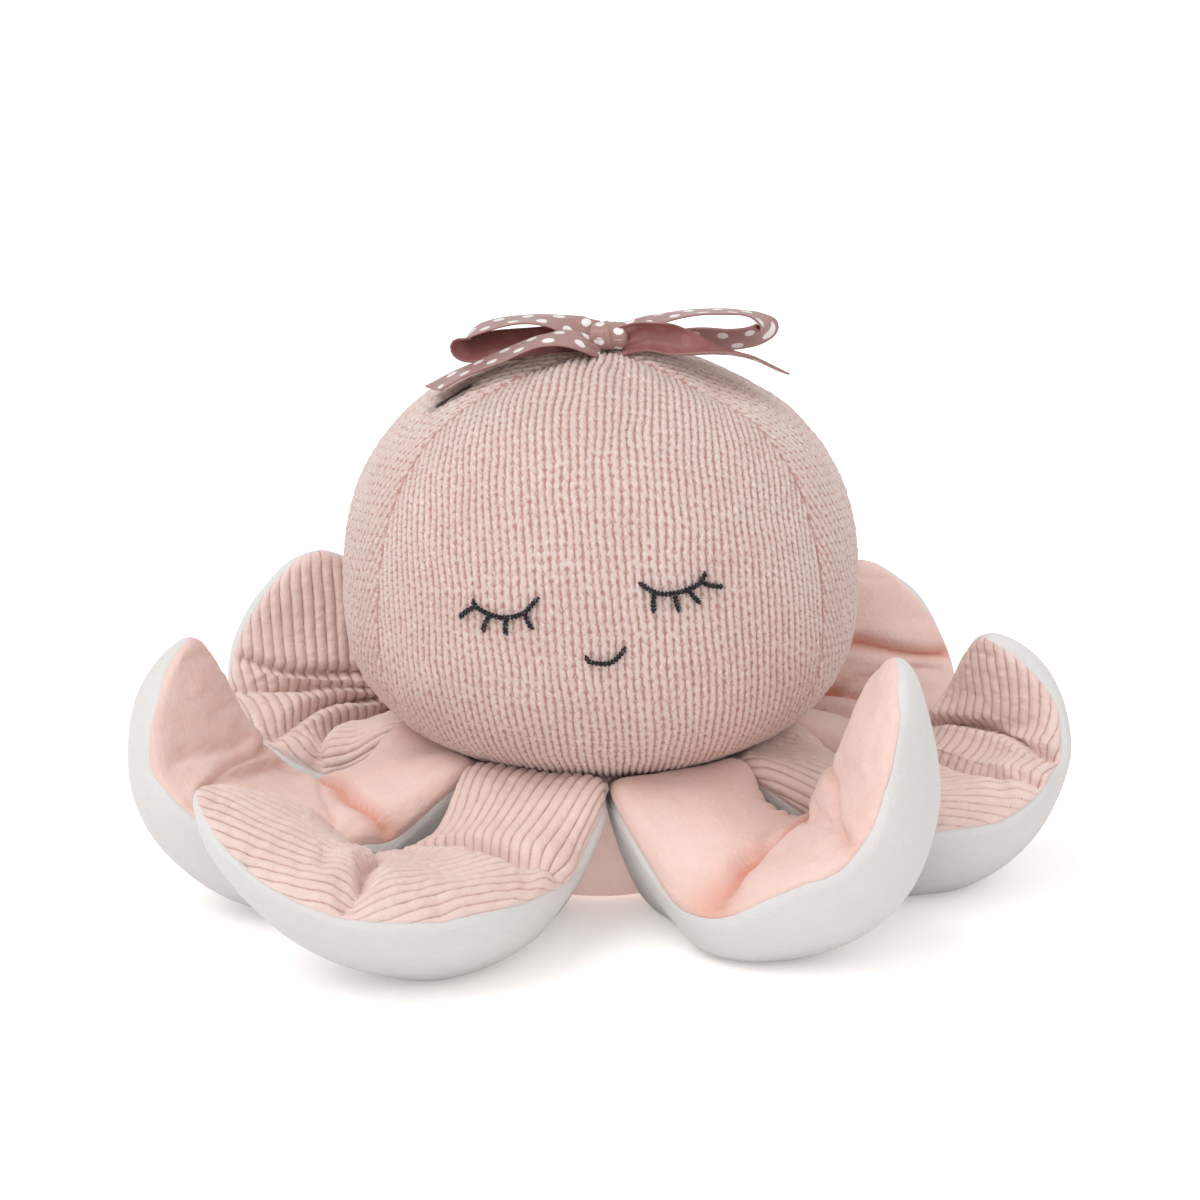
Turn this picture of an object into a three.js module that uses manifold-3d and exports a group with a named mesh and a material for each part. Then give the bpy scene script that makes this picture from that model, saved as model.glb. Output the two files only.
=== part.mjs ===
// A stuffed octopus toy. A knitted ball of a head sits on a ring of eight padded legs that curl up at
// their tips. Each leg is a top panel and a white underside sewn together round a filling. The face is
// embroidered, and a satin ribbon bow is sewn on top of the head.
//
// Sizes are in millimetres and angles in degrees. Z is up with the floor at 0, and the face looks along -Y.
import * as THREE from "three";
import { mergeVertices } from "three/addons/utils/BufferGeometryUtils.js";
import Module from "manifold-3d";

const wasm = await Module();
wasm.setup();

// Clearances
const SEAM_GAP = 0.4; // between two pieces that are sewn or pressed together
const FILLING_GAP = 0.6; // between a filling and its cover

// Head
const HEAD_WIDTH = 119;
const HEAD_ABOVE = 55; // from the widest line to the top
const HEAD_BELOW = 39; // from the widest line to the underside
const HEAD_FLOOR_GAP = 27.5; // from the floor to the underside
const FULLNESS_ABOVE = 2.5; // 2 is an ellipsoid, more is fuller
const FULLNESS_BELOW = 2.25;
const KNIT_THICKNESS = 1.5;
const HEAD_SIDES = 24;
const HEAD_RINGS = 13;

// Base, the round panel in the middle of the ring of legs
const BASE_FLAT_RADIUS = 19; // what rests on the floor
const BASE_CORNER = 7;
const BASE_THICKNESS = 1.2;

// Legs
const LEG_COUNT = 8;
const RING_TURN = 2.5; // the ring is sewn on turned by this angle
const HINGE_RADIUS = 36; // where a leg flexes, from the middle of the toy
const LEG_LENGTH = 110;
const LEG_WIDTH = 50;
const LEG_ROOT_THICKNESS = 19;
const LEG_DEPTH = 16.5; // the underside's bulge below the seam
const LEG_TOP_BULGE = 8; // the top panel's bulge above the seam
const LEG_CUP = 7; // how far the long edges stand above the middle
const LEG_WIDE_AT = 58; // length at which a leg reaches its full width
const LEG_TAPER_FROM = 52; // length at which its tip begins to narrow
const TIP_THINNING = 0.35; // share of the underside's bulge that is lost at the tip
const PANEL_THICKNESS = 1.2;
const FLOOR_FLAT = 0.7; // how deep the resting legs are pressed flat
const NECK_PUFF_AT = 16; // length at which the top puffs up towards the head
const NECK_PUFF_LENGTH = 28; // over which the puff falls off again
const LEG_HEAD_GAP = 3; // between that puff and the head
const SECTOR_SHARE = 0.96; // share of its sector that a leg's root fills
const TIP_BLUNT = 0.2; // what the closed seam takes off the tip
const FOLD_DEPTH = 0.55; // share of the top's bulge that a crease takes away
const FOLD_LENGTH = 6;
const TIP_ROUNDNESS = 2.3; // more is blunter
const TIP_SHARPNESS = 0.62; // more is more pointed
const LEG_RINGS = 9;
const LEG_SIDES = 6;

// Embroidery
const THREAD_RADIUS = 0.6;
const THREAD_SIDES = 6;

// Bow
const RIBBON_WIDTH = 10;
const RIBBON_THICKNESS = 0.6;
const RIBBON_GATHER = 4.5; // its width where it enters the knot
const GATHER_LENGTH = 9;
const KNOT_WIDTH = 5.6;
const KNOT_HEIGHT = 7;
const KNOT_DEPTH = 10;
const BOW_REACH = 34; // from the knot to the end of the longer loop
const LOOP_HEIGHT = 7.8;
const LOOP_LIFT = 1.8; // how far the end of a loop stands above the knot's middle
const LOOP_BACK = 2.5; // the loops lie this far behind the middle
const TAIL_FRONT = 8.5; // and the tails this far before it
const TAIL_ROOT_FRONT = -3.2; // where a tail leaves the knot, from the knot's middle
const TAIL_ROOT_DROP = -1.6;
const LEFT_TAIL_DROP = 8.4; // how far a tail comes down on the head
const RIGHT_TAIL_DROP = 4.6;
const TAIL_SLANT = 4; // of the cut end
const LOOP_STEPS = 22;
const TAIL_STEPS = 7;

// One entry for each leg, from the front left and on against the clock seen from above. Reach is its length
// as a share of LEG_LENGTH. Spans and folds are shares of its own length. The heading turns by sweep over
// sweepSpan, and the leg rises by curl over curlSpan.
const LEGS = [
  {
    name: "front_left",
    fabric: "corduroy",
    reach: 1.03,
    sweep: -70,
    sweepSpan: [0.08, 0.85],
    curl: 46,
    curlSpan: [0.34, 1],
    roll: -14,
    folds: [0.4, 0.74],
  },
  {
    name: "front_right",
    fabric: "velour",
    reach: 0.99,
    sweep: 66,
    sweepSpan: [0.04, 0.66],
    curl: 88,
    curlSpan: [0.3, 0.85],
    roll: 6,
    folds: [0.46, 0.76],
  },
  {
    name: "right_front",
    fabric: "corduroy",
    reach: 1.04,
    sweep: 62,
    sweepSpan: [0.08, 0.66],
    curl: 130,
    curlSpan: [0.44, 1],
    roll: 6,
    folds: [0.62],
  },
  {
    name: "right_back",
    fabric: "velour",
    reach: 0.85,
    sweep: 56,
    sweepSpan: [0.1, 0.74],
    curl: 100,
    curlSpan: [0.24, 0.98],
    roll: 4,
    folds: [0.48, 0.72],
  },
  {
    name: "back_right",
    fabric: "corduroy",
    reach: 0.98,
    sweep: 8,
    sweepSpan: [0.2, 0.8],
    curl: 100,
    curlSpan: [0.3, 0.95],
    roll: 0,
    folds: [0.55],
  },
  {
    name: "back_left",
    fabric: "velour",
    reach: 0.98,
    sweep: -8,
    sweepSpan: [0.2, 0.8],
    curl: 100,
    curlSpan: [0.3, 0.95],
    roll: 0,
    folds: [0.55],
  },
  {
    name: "left_back",
    fabric: "corduroy",
    reach: 0.88,
    sweep: -54,
    sweepSpan: [0.12, 0.74],
    curl: 104,
    curlSpan: [0.22, 0.9],
    roll: 0,
    folds: [0.42, 0.66],
  },
  {
    name: "left_front",
    fabric: "velour",
    reach: 1,
    sweep: -47,
    sweepSpan: [0.12, 0.82],
    curl: 107,
    curlSpan: [0.34, 1],
    roll: -5,
    folds: [0.52],
  },
];
const FIRST_LEG_AT = -112.5; // heading of the first leg, before the ring's turn

// The embroidery, as [x, height] on the front of the head. Each lash is where it leaves the line, as a
// share of the line's length, and where it ends.
const EYE_LEFT = {
  line: [[-27.8, 79.1], [-26.1, 77.3], [-23.1, 76.2], [-20.2, 76], [-16.4, 77.3], [-13.2, 80.9]],
  lashes: [[0.1, [-30.6, 74.5]], [0.3, [-25.3, 72.1]], [0.5, [-20.2, 72]], [0.74, [-14.4, 73.8]]],
};
const EYE_RIGHT = {
  line: [[8.3, 84.3], [11.7, 82.1], [14.9, 81.6], [18.4, 82.1], [21.4, 83.4], [22.8, 85.7]],
  lashes: [[0.24, [11.6, 77.5]], [0.5, [17.2, 77.4]], [0.68, [21.9, 78.8]], [0.85, [26.8, 82]]],
};
const SMILE = {
  line: [[-3.2, 68.5], [-2.1, 67.2], [0.3, 66.8], [2.2, 67], [3.9, 68.2], [5.5, 70.4]],
  lashes: [],
};

// Colours
const knitPink = new THREE.MeshStandardMaterial({ color: 0xd9bdb5, roughness: 0.95, metalness: 0 });
const corduroyPink = new THREE.MeshStandardMaterial({ color: 0xdac2bb, roughness: 0.95, metalness: 0 });
const peachVelour = new THREE.MeshStandardMaterial({ color: 0xf0cfc2, roughness: 0.9, metalness: 0 });
const whiteVelour = new THREE.MeshStandardMaterial({ color: 0xdedbda, roughness: 0.9, metalness: 0 });
const fibre = new THREE.MeshStandardMaterial({ color: 0xf2f0ec, roughness: 1, metalness: 0 });
const darkThread = new THREE.MeshStandardMaterial({ color: 0x4c4a4d, roughness: 0.7, metalness: 0 });
const roseSatin = new THREE.MeshStandardMaterial({ color: 0xa88581, roughness: 0.4, metalness: 0 });

const RAD = Math.PI / 180;
const { smoothstep, lerp } = THREE.MathUtils;
const octopus = new THREE.Group();

function add(name, geometry, material) {
  const mesh = new THREE.Mesh(geometry, material);
  mesh.name = name;
  octopus.add(mesh);
  return mesh;
}

// Head shape, a body of revolution with superellipse sides
const HEAD_RADIUS = HEAD_WIDTH / 2;
const HEAD_WAIST_Z = HEAD_FLOOR_GAP + HEAD_BELOW;
const HEAD_TOP_Z = HEAD_WAIST_Z + HEAD_ABOVE;

// How wide the head is at a share of its reach from the widest line, as a share of its full radius
function fullness(share, power) {
  return (1 - Math.abs(share) ** power) ** (1 / power);
}

function headRadiusAt(z) {
  const above = z > HEAD_WAIST_Z;
  const share = (z - HEAD_WAIST_Z) / (above ? HEAD_ABOVE : HEAD_BELOW);
  return HEAD_RADIUS * fullness(share, above ? FULLNESS_ABOVE : FULLNESS_BELOW);
}

function headUndersideZ(radius) {
  return HEAD_WAIST_Z - HEAD_BELOW * fullness(radius / HEAD_RADIUS, FULLNESS_BELOW);
}

// The head's profile from the top down to the radius where it is open, as [radius, height]
function headProfile(inset, openRadius) {
  const radius = HEAD_RADIUS - inset;
  const openAngle = Math.PI - Math.asin((openRadius / radius) ** (FULLNESS_BELOW / 2));
  const points = [new THREE.Vector2(0, HEAD_WAIST_Z + HEAD_ABOVE - inset)];
  for (let ring = 1; ring <= HEAD_RINGS; ring++) {
    const angle = (openAngle * ring) / HEAD_RINGS;
    const above = angle < Math.PI / 2;
    const power = 2 / (above ? FULLNESS_ABOVE : FULLNESS_BELOW);
    const reach = above ? HEAD_ABOVE - inset : inset - HEAD_BELOW;
    const z = HEAD_WAIST_Z + reach * Math.abs(Math.cos(angle)) ** power;
    points.push(new THREE.Vector2(radius * Math.sin(angle) ** power, z));
  }
  return points;
}

// A revolved solid about Z from a profile that runs round it with the material on its left
function revolve(profile, sides) {
  return new THREE.LatheGeometry(profile, sides).rotateX(Math.PI / 2);
}

// Base
const LEG_ROOT_RADIUS = LEG_ROOT_THICKNESS / 2;
const LEG_START_RADIUS = HINGE_RADIUS - LEG_ROOT_RADIUS;
const BASE_RADIUS = LEG_START_RADIUS - SEAM_GAP;
const BASE_RIM_Z = headUndersideZ(BASE_RADIUS) - SEAM_GAP;
const NECK_OPENING = BASE_RADIUS - BASE_THICKNESS - SEAM_GAP;
const NECK_RADIUS = NECK_OPENING - FILLING_GAP;

function baseProfile(inset) {
  const radius = BASE_RADIUS - inset;
  const corner = BASE_CORNER - inset;
  const flat = Math.min(BASE_FLAT_RADIUS, radius - corner);
  const points = [new THREE.Vector2(0, inset), new THREE.Vector2(flat, inset)];
  for (const angle of [30, 60, 90]) {
    const out = Math.sin(angle * RAD);
    const up = 1 - Math.cos(angle * RAD);
    points.push(new THREE.Vector2(lerp(flat, radius, out), inset + BASE_CORNER * up));
  }
  return points;
}

const baseOuter = baseProfile(0);
const baseInner = baseProfile(BASE_THICKNESS).reverse();
const baseRim = [
  new THREE.Vector2(BASE_RADIUS, BASE_RIM_Z),
  new THREE.Vector2(BASE_RADIUS - BASE_THICKNESS, BASE_RIM_Z),
];
add("base_panel", revolve([...baseOuter, ...baseRim, ...baseInner], HEAD_SIDES), whiteVelour);

const coverOuter = headProfile(0, NECK_OPENING);
const coverInner = headProfile(KNIT_THICKNESS, NECK_OPENING);
add("head_cover", revolve([...coverInner, ...coverOuter.reverse()], HEAD_SIDES), knitPink);

const fillingInset = KNIT_THICKNESS + FILLING_GAP;
const neckFloor = BASE_THICKNESS + FILLING_GAP;
const neck = [
  new THREE.Vector2(NECK_RADIUS, neckFloor + BASE_CORNER),
  new THREE.Vector2(NECK_RADIUS - BASE_CORNER, neckFloor),
  new THREE.Vector2(0, neckFloor),
];
const fillingProfile = [...headProfile(fillingInset, NECK_RADIUS), ...neck].reverse();
add("head_filling", revolve(fillingProfile, HEAD_SIDES), fibre);

// A closed sheet between two grids of points with rows along the length. The front faces along row x
// column.
function sheetBetween(front, back) {
  const rows = front.length;
  const columns = front[0].length;
  const positions = [...front, ...back].flatMap((row) => row.flatMap((point) => point.toArray()));
  const frontAt = (row, column) => row * columns + column;
  const backAt = (row, column) => (rows + row) * columns + column;
  const faces = [];
  const quad = (a, b, c, d) => faces.push(a, b, c, a, c, d);
  const lastRow = rows - 1;
  const lastColumn = columns - 1;
  for (let row = 0; row < lastRow; row++) {
    const next = row + 1;
    for (let column = 0; column < lastColumn; column++) {
      const beside = column + 1;
      quad(frontAt(row, column), frontAt(next, column), frontAt(next, beside), frontAt(row, beside));
      quad(backAt(row, column), backAt(row, beside), backAt(next, beside), backAt(next, column));
    }
    quad(frontAt(row, 0), backAt(row, 0), backAt(next, 0), frontAt(next, 0));
    quad(
      frontAt(row, lastColumn),
      frontAt(next, lastColumn),
      backAt(next, lastColumn),
      backAt(row, lastColumn),
    );
  }
  for (let column = 0; column < lastColumn; column++) {
    const beside = column + 1;
    quad(frontAt(0, column), frontAt(0, beside), backAt(0, beside), backAt(0, column));
    quad(
      frontAt(lastRow, column),
      backAt(lastRow, column),
      backAt(lastRow, beside),
      frontAt(lastRow, beside),
    );
  }
  return new THREE.BufferGeometry()
    .setAttribute("position", new THREE.Float32BufferAttribute(positions, 3))
    .setIndex(faces);
}

// Legs
const SEAM_HALF = SEAM_GAP / 2; // each panel's share of the gap between them
const LEG_SEAM_Z = LEG_DEPTH + SEAM_HALF - FLOOR_FLAT;
const HALF_WIDTH = LEG_WIDTH / 2;
const SECTOR_SLOPE = Math.tan(Math.PI / LEG_COUNT) * SECTOR_SHARE;
const ROOT_HALF_WIDTH = LEG_START_RADIUS * SECTOR_SLOPE - SEAM_HALF;

const topWithoutPuff = (along) =>
  lerp(LEG_ROOT_RADIUS, LEG_TOP_BULGE, smoothstep(along, LEG_ROOT_RADIUS, LEG_WIDE_AT));
const NECK_PUFF =
  headUndersideZ(LEG_START_RADIUS + NECK_PUFF_AT) -
  LEG_HEAD_GAP -
  (LEG_SEAM_Z + SEAM_HALF + topWithoutPuff(NECK_PUFF_AT));

const lengthOf = (leg) => leg.reach * LEG_LENGTH;

// The leg's line from its root, in 1 mm steps, each with its place and its directions
function spine(leg, heading) {
  const stations = [];
  const place = new THREE.Vector3(
    LEG_START_RADIUS * Math.cos(heading * RAD),
    LEG_START_RADIUS * Math.sin(heading * RAD),
    LEG_SEAM_Z,
  );
  for (let along = 0; along <= Math.ceil(lengthOf(leg)); along++) {
    const share = along / lengthOf(leg);
    const turned = (heading + leg.sweep * smoothstep(share, ...leg.sweepSpan)) * RAD;
    const raised = leg.curl * smoothstep(share, ...leg.curlSpan) * RAD;
    const rolled = leg.roll * smoothstep(share, leg.sweepSpan[0], 1) * RAD;
    const forward = new THREE.Vector3(
      Math.cos(raised) * Math.cos(turned),
      Math.cos(raised) * Math.sin(turned),
      Math.sin(raised),
    );
    const side = new THREE.Vector3(-Math.sin(turned), Math.cos(turned), 0).applyAxisAngle(forward, rolled);
    const up = new THREE.Vector3().crossVectors(forward, side);
    stations.push({ place: place.clone(), side, up });
    place.add(forward);
  }
  return stations;
}

function bodyHalfWidth(along) {
  return lerp(ROOT_HALF_WIDTH, HALF_WIDTH, smoothstep(along, 0, LEG_WIDE_AT));
}

function topBulge(leg, along) {
  const rise = smoothstep(along, LEG_ROOT_RADIUS, NECK_PUFF_AT);
  const fall = smoothstep(along, NECK_PUFF_AT, NECK_PUFF_AT + NECK_PUFF_LENGTH);
  const apart = leg.folds.map((share) => (along - share * lengthOf(leg)) / FOLD_LENGTH);
  const crease = apart.reduce((sum, distance) => sum + Math.exp(-(distance ** 2)), 0);
  const creased = LEG_TOP_BULGE * FOLD_DEPTH * crease;
  return topWithoutPuff(along) + NECK_PUFF * rise * (1 - fall) - creased;
}

function undersideBulge(leg, along) {
  const thinner = 1 - TIP_THINNING * smoothstep(along, LEG_TAPER_FROM, lengthOf(leg));
  return lerp(LEG_ROOT_RADIUS, LEG_DEPTH * thinner, smoothstep(along, LEG_ROOT_RADIUS, NECK_PUFF_AT));
}

// A leg's surface above the seam (side 1) or below it (side -1), moved inwards by inset
function legSurface(leg, stations, side, inset) {
  const root = LEG_ROOT_RADIUS - inset;
  const end = lengthOf(leg) - inset;
  const lengths = [0, 45, 90].map((angle) => inset + root * (1 - Math.cos(angle * RAD)));
  for (let ring = 0; ring <= LEG_RINGS; ring++) {
    lengths.push(lerp(NECK_PUFF_AT, end - TIP_BLUNT, ring / LEG_RINGS));
  }
  return lengths.map((along) => {
    const whole = Math.min(Math.floor(along), stations.length - 2);
    const part = along - whole;
    const [near, far] = [stations[whole], stations[whole + 1]];
    const place = near.place.clone().lerp(far.place, part);
    const across = near.side.clone().lerp(far.side, part).normalize();
    const up = near.up.clone().lerp(far.up, part).normalize();
    const narrowing = Math.max(0, (along - LEG_TAPER_FROM) / (end - LEG_TAPER_FROM));
    const tip = (1 - narrowing ** TIP_ROUNDNESS) ** TIP_SHARPNESS;
    const half = (bodyHalfWidth(along) - inset) * tip;
    const bulge = side > 0 ? topBulge(leg, along) : undersideBulge(leg, along);
    const rounded = Math.sqrt(Math.max(0, root ** 2 - (LEG_ROOT_RADIUS - along) ** 2));
    const height = along < LEG_ROOT_RADIUS ? rounded : (bulge - inset) * tip ** 0.8;
    const row = [];
    for (let step = 0; step <= LEG_SIDES; step++) {
      const angle = (Math.PI * step) / LEG_SIDES;
      const offset = -half * Math.cos(angle);
      const raised = LEG_CUP * (offset / HALF_WIDTH) ** 2 + side * (SEAM_HALF + height * Math.sin(angle));
      const point = place.clone().addScaledVector(across, offset).addScaledVector(up, raised);
      point.z = Math.max(point.z, inset);
      row.push(point);
    }
    return row;
  });
}

const fabrics = { corduroy: corduroyPink, velour: peachVelour };
LEGS.forEach((leg, index) => {
  const heading = FIRST_LEG_AT + RING_TURN + (index * 360) / LEG_COUNT;
  const stations = spine(leg, heading);
  const surface = (side, inset) => legSurface(leg, stations, side, inset);
  const inside = PANEL_THICKNESS;
  const filled = PANEL_THICKNESS + FILLING_GAP;
  add(`leg_${leg.name}_top`, sheetBetween(surface(1, 0), surface(1, inside)), fabrics[leg.fabric]);
  add(`leg_${leg.name}_underside`, sheetBetween(surface(-1, inside), surface(-1, 0)), whiteVelour);
  add(`leg_${leg.name}_filling`, sheetBetween(surface(1, filled), surface(-1, filled)), fibre);
});

// Embroidery. A stroke is a round thread that lies on the head.
function onHead([x, z], lift) {
  const radius = headRadiusAt(z);
  const y = -Math.sqrt(radius ** 2 - x ** 2);
  const above = z > HEAD_WAIST_Z;
  const reach = above ? HEAD_ABOVE : HEAD_BELOW;
  const power = (above ? FULLNESS_ABOVE : FULLNESS_BELOW) - 1;
  const outward = (radius / HEAD_RADIUS) ** power / HEAD_RADIUS / radius;
  const rise = (Math.abs(z - HEAD_WAIST_Z) / reach) ** power / reach;
  const normal = new THREE.Vector3(x * outward, y * outward, above ? rise : -rise).normalize();
  return new THREE.Vector3(x, y, z).addScaledVector(normal, lift);
}

function solidOf(geometry) {
  const bare = new THREE.BufferGeometry()
    .setAttribute("position", geometry.getAttribute("position"))
    .setIndex(geometry.index);
  const merged = mergeVertices(bare, 1e-4);
  return new wasm.Manifold(
    new wasm.Mesh({
      numProp: 3,
      vertProperties: merged.getAttribute("position").array,
      triVerts: new Uint32Array(merged.index.array),
    }),
  );
}

function geometryOf(solid) {
  const mesh = solid.getMesh();
  return new THREE.BufferGeometry()
    .setAttribute("position", new THREE.BufferAttribute(new Float32Array(mesh.vertProperties), 3))
    .setIndex(new THREE.BufferAttribute(new Uint32Array(mesh.triVerts), 1));
}

function stroke(path, steps) {
  const section = new THREE.Shape();
  for (let side = 0; side < THREAD_SIDES; side++) {
    const angle = ((side + 0.5) * 2 * Math.PI) / THREAD_SIDES;
    const corner = [THREAD_RADIUS * Math.cos(angle), THREAD_RADIUS * Math.sin(angle)];
    if (side === 0) section.moveTo(...corner);
    else section.lineTo(...corner);
  }
  section.closePath();
  return solidOf(new THREE.ExtrudeGeometry(section, { steps, extrudePath: path }));
}

function embroidered({ line, lashes }) {
  const lift = SEAM_GAP + THREAD_RADIUS;
  const path = new THREE.CatmullRomCurve3(line.map((point) => onHead(point, lift)));
  const strokes = lashes.map(([share, end]) =>
    stroke(new THREE.CatmullRomCurve3([path.getPointAt(share), onHead(end, lift)]), 2),
  );
  return geometryOf(strokes.reduce((joined, next) => joined.add(next), stroke(path, 10)));
}

add("eye_left", embroidered(EYE_LEFT), darkThread);
add("eye_right", embroidered(EYE_RIGHT), darkThread);
add("smile", embroidered(SMILE), darkThread);

// Bow. Its pieces are placed from the knot, which sits on the top of the head.
const KNOT_Z = HEAD_TOP_Z + SEAM_GAP + KNOT_HEIGHT / 2;
const BOW_X = 2;
const KNOT_RINGS = [0, 30, 60, 90, 120, 150, 180];
const knotProfile = KNOT_RINGS.map((angle) => {
  const ends = angle === 0 || angle === 180;
  const along = (-KNOT_DEPTH / 2) * Math.cos(angle * RAD);
  return new THREE.Vector2(ends ? 0 : Math.sin(angle * RAD) ** 0.6, along);
});
const knot = new THREE.LatheGeometry(knotProfile, 12).scale(KNOT_WIDTH / 2, 1, KNOT_HEIGHT / 2);
add("bow_knot", knot.translate(BOW_X, 0, KNOT_Z), roseSatin);

// A ribbon along a curve in the plane of the bow, gathered where it enters the knot. A point is how far it
// lies out from the knot, back and up.
function ribbon(hand, points, steps, isLoop, slant = 0) {
  const start = KNOT_WIDTH / 2 + SEAM_GAP;
  const placed = ([out, back, up]) => new THREE.Vector3(BOW_X + hand * (start + out), back, KNOT_Z + up);
  const curve = new THREE.CatmullRomCurve3(points.map(placed), false, "centripetal");
  const length = curve.getLength();
  const rings = [];
  for (let step = 0; step <= steps; step++) {
    const share = step / steps;
    const centre = curve.getPointAt(share);
    const forward = curve.getTangentAt(share);
    const across = new THREE.Vector3(0, 1, 0);
    const normal = new THREE.Vector3().crossVectors(forward, across).normalize();
    const fromKnot = length * (isLoop ? Math.min(share, 1 - share) : share);
    const half = lerp(RIBBON_GATHER, RIBBON_WIDTH, smoothstep(fromKnot, 0, GATHER_LENGTH)) / 2;
    const cut = step === steps ? slant / 2 : 0;
    const corner = (edge, face) =>
      centre
        .clone()
        .addScaledVector(across, edge * half)
        .addScaledVector(forward, edge * cut)
        .addScaledVector(normal, (face * RIBBON_THICKNESS) / 2);
    rings.push([corner(-1, -1), corner(1, -1), corner(1, 1), corner(-1, 1)]);
  }
  const front = rings.map((ring) => [ring[3], ring[2]]);
  const back = rings.map((ring) => [ring[0], ring[1]]);
  return sheetBetween(front, back);
}

// Loops go out from the knot along the top and come back along the bottom
function loopPoints(length, height, lift) {
  return [
    [0, LOOP_BACK - 1, 1.6],
    [0.3 * length, LOOP_BACK, lift + 0.42 * height],
    [0.72 * length, LOOP_BACK, lift + 0.5 * height],
    [length, LOOP_BACK, lift],
    [0.72 * length, LOOP_BACK, lift - 0.5 * height],
    [0.3 * length, LOOP_BACK, lift - 0.34 * height],
    [0, LOOP_BACK - 1, -1],
  ];
}

// Tails go out in front of the loops and come down on the head
function tailPoints(length, drop) {
  return [
    [0, TAIL_ROOT_FRONT, TAIL_ROOT_DROP],
    [0.3 * length, -TAIL_FRONT, -0.15 * drop],
    [0.66 * length, -TAIL_FRONT, -0.41 * drop],
    [length, -TAIL_FRONT, -drop],
  ];
}

const leftLoop = loopPoints(0.88 * BOW_REACH, 0.9 * LOOP_HEIGHT, LOOP_LIFT);
const rightLoop = loopPoints(BOW_REACH, LOOP_HEIGHT, LOOP_LIFT);
const leftTail = tailPoints(1.06 * BOW_REACH, LEFT_TAIL_DROP);
const rightTail = tailPoints(0.94 * BOW_REACH, RIGHT_TAIL_DROP);
add("bow_loop_left", ribbon(-1, leftLoop, LOOP_STEPS, true), roseSatin);
add("bow_loop_right", ribbon(1, rightLoop, LOOP_STEPS, true), roseSatin);
add("bow_tail_left", ribbon(-1, leftTail, TAIL_STEPS, false, TAIL_SLANT), roseSatin);
add("bow_tail_right", ribbon(1, rightTail, TAIL_STEPS, false, -TAIL_SLANT), roseSatin);

export default octopus;
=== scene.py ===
"""A stuffed octopus toy with a knitted head, an embroidered sleeping face, a satin ribbon bow and a ring of
eight padded legs in corduroy and velour. Lengths are in metres, and MM turns millimetres into them."""

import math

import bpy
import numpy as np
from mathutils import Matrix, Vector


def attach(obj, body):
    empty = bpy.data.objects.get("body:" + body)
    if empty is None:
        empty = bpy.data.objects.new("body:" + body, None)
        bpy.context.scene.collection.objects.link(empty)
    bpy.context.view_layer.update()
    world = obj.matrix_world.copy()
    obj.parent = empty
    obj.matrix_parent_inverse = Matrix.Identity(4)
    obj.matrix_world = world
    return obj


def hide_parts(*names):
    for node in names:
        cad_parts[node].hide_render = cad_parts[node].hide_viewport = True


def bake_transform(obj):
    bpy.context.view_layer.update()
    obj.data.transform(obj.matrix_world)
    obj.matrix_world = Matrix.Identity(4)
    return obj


bl_info = {
    "name": "Octopus soft toy",
    "version": (1, 0, 0),
    "blender": (4, 5, 0),
    "location": "3D View > Sidebar > Octopus",
    "description": "Makes the knitted head, the padded legs, the face and the bow of a stuffed octopus",
    "category": "Object",
}

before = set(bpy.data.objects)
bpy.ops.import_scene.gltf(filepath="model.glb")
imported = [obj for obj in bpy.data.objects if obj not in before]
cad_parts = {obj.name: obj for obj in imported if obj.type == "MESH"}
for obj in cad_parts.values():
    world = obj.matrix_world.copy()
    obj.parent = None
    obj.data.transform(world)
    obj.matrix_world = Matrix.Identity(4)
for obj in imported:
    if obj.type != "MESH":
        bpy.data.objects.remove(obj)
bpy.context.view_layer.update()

MM = 0.001


def srgb(code):
    """The linear colour, with alpha, of a hex colour code"""
    levels = [int(code[i:i + 2], 16) / 255 for i in (0, 2, 4)]
    return tuple(c / 12.92 if c <= 0.04045 else ((c + 0.055) / 1.055) ** 2.4 for c in levels) + (1.0,)


def length(name, value, description):
    """A length property, with its default given in millimetres"""
    return bpy.props.FloatProperty(
        name=name, description=description, default=value * MM, min=0, unit="LENGTH", precision=4
    )


def share(name, value, description):
    """A property that is a plain number"""
    return bpy.props.FloatProperty(name=name, description=description, default=value)


def angle(name, degrees, description):
    """An angle property, with its default given in degrees"""
    return bpy.props.FloatProperty(
        name=name, description=description, default=math.radians(degrees), unit="ROTATION"
    )


def colour(name, code, description):
    """A colour property, with its default given as a hex code"""
    return bpy.props.FloatVectorProperty(
        name=name, description=description, default=srgb(code), size=4, min=0, max=1, subtype="COLOR"
    )


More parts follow.
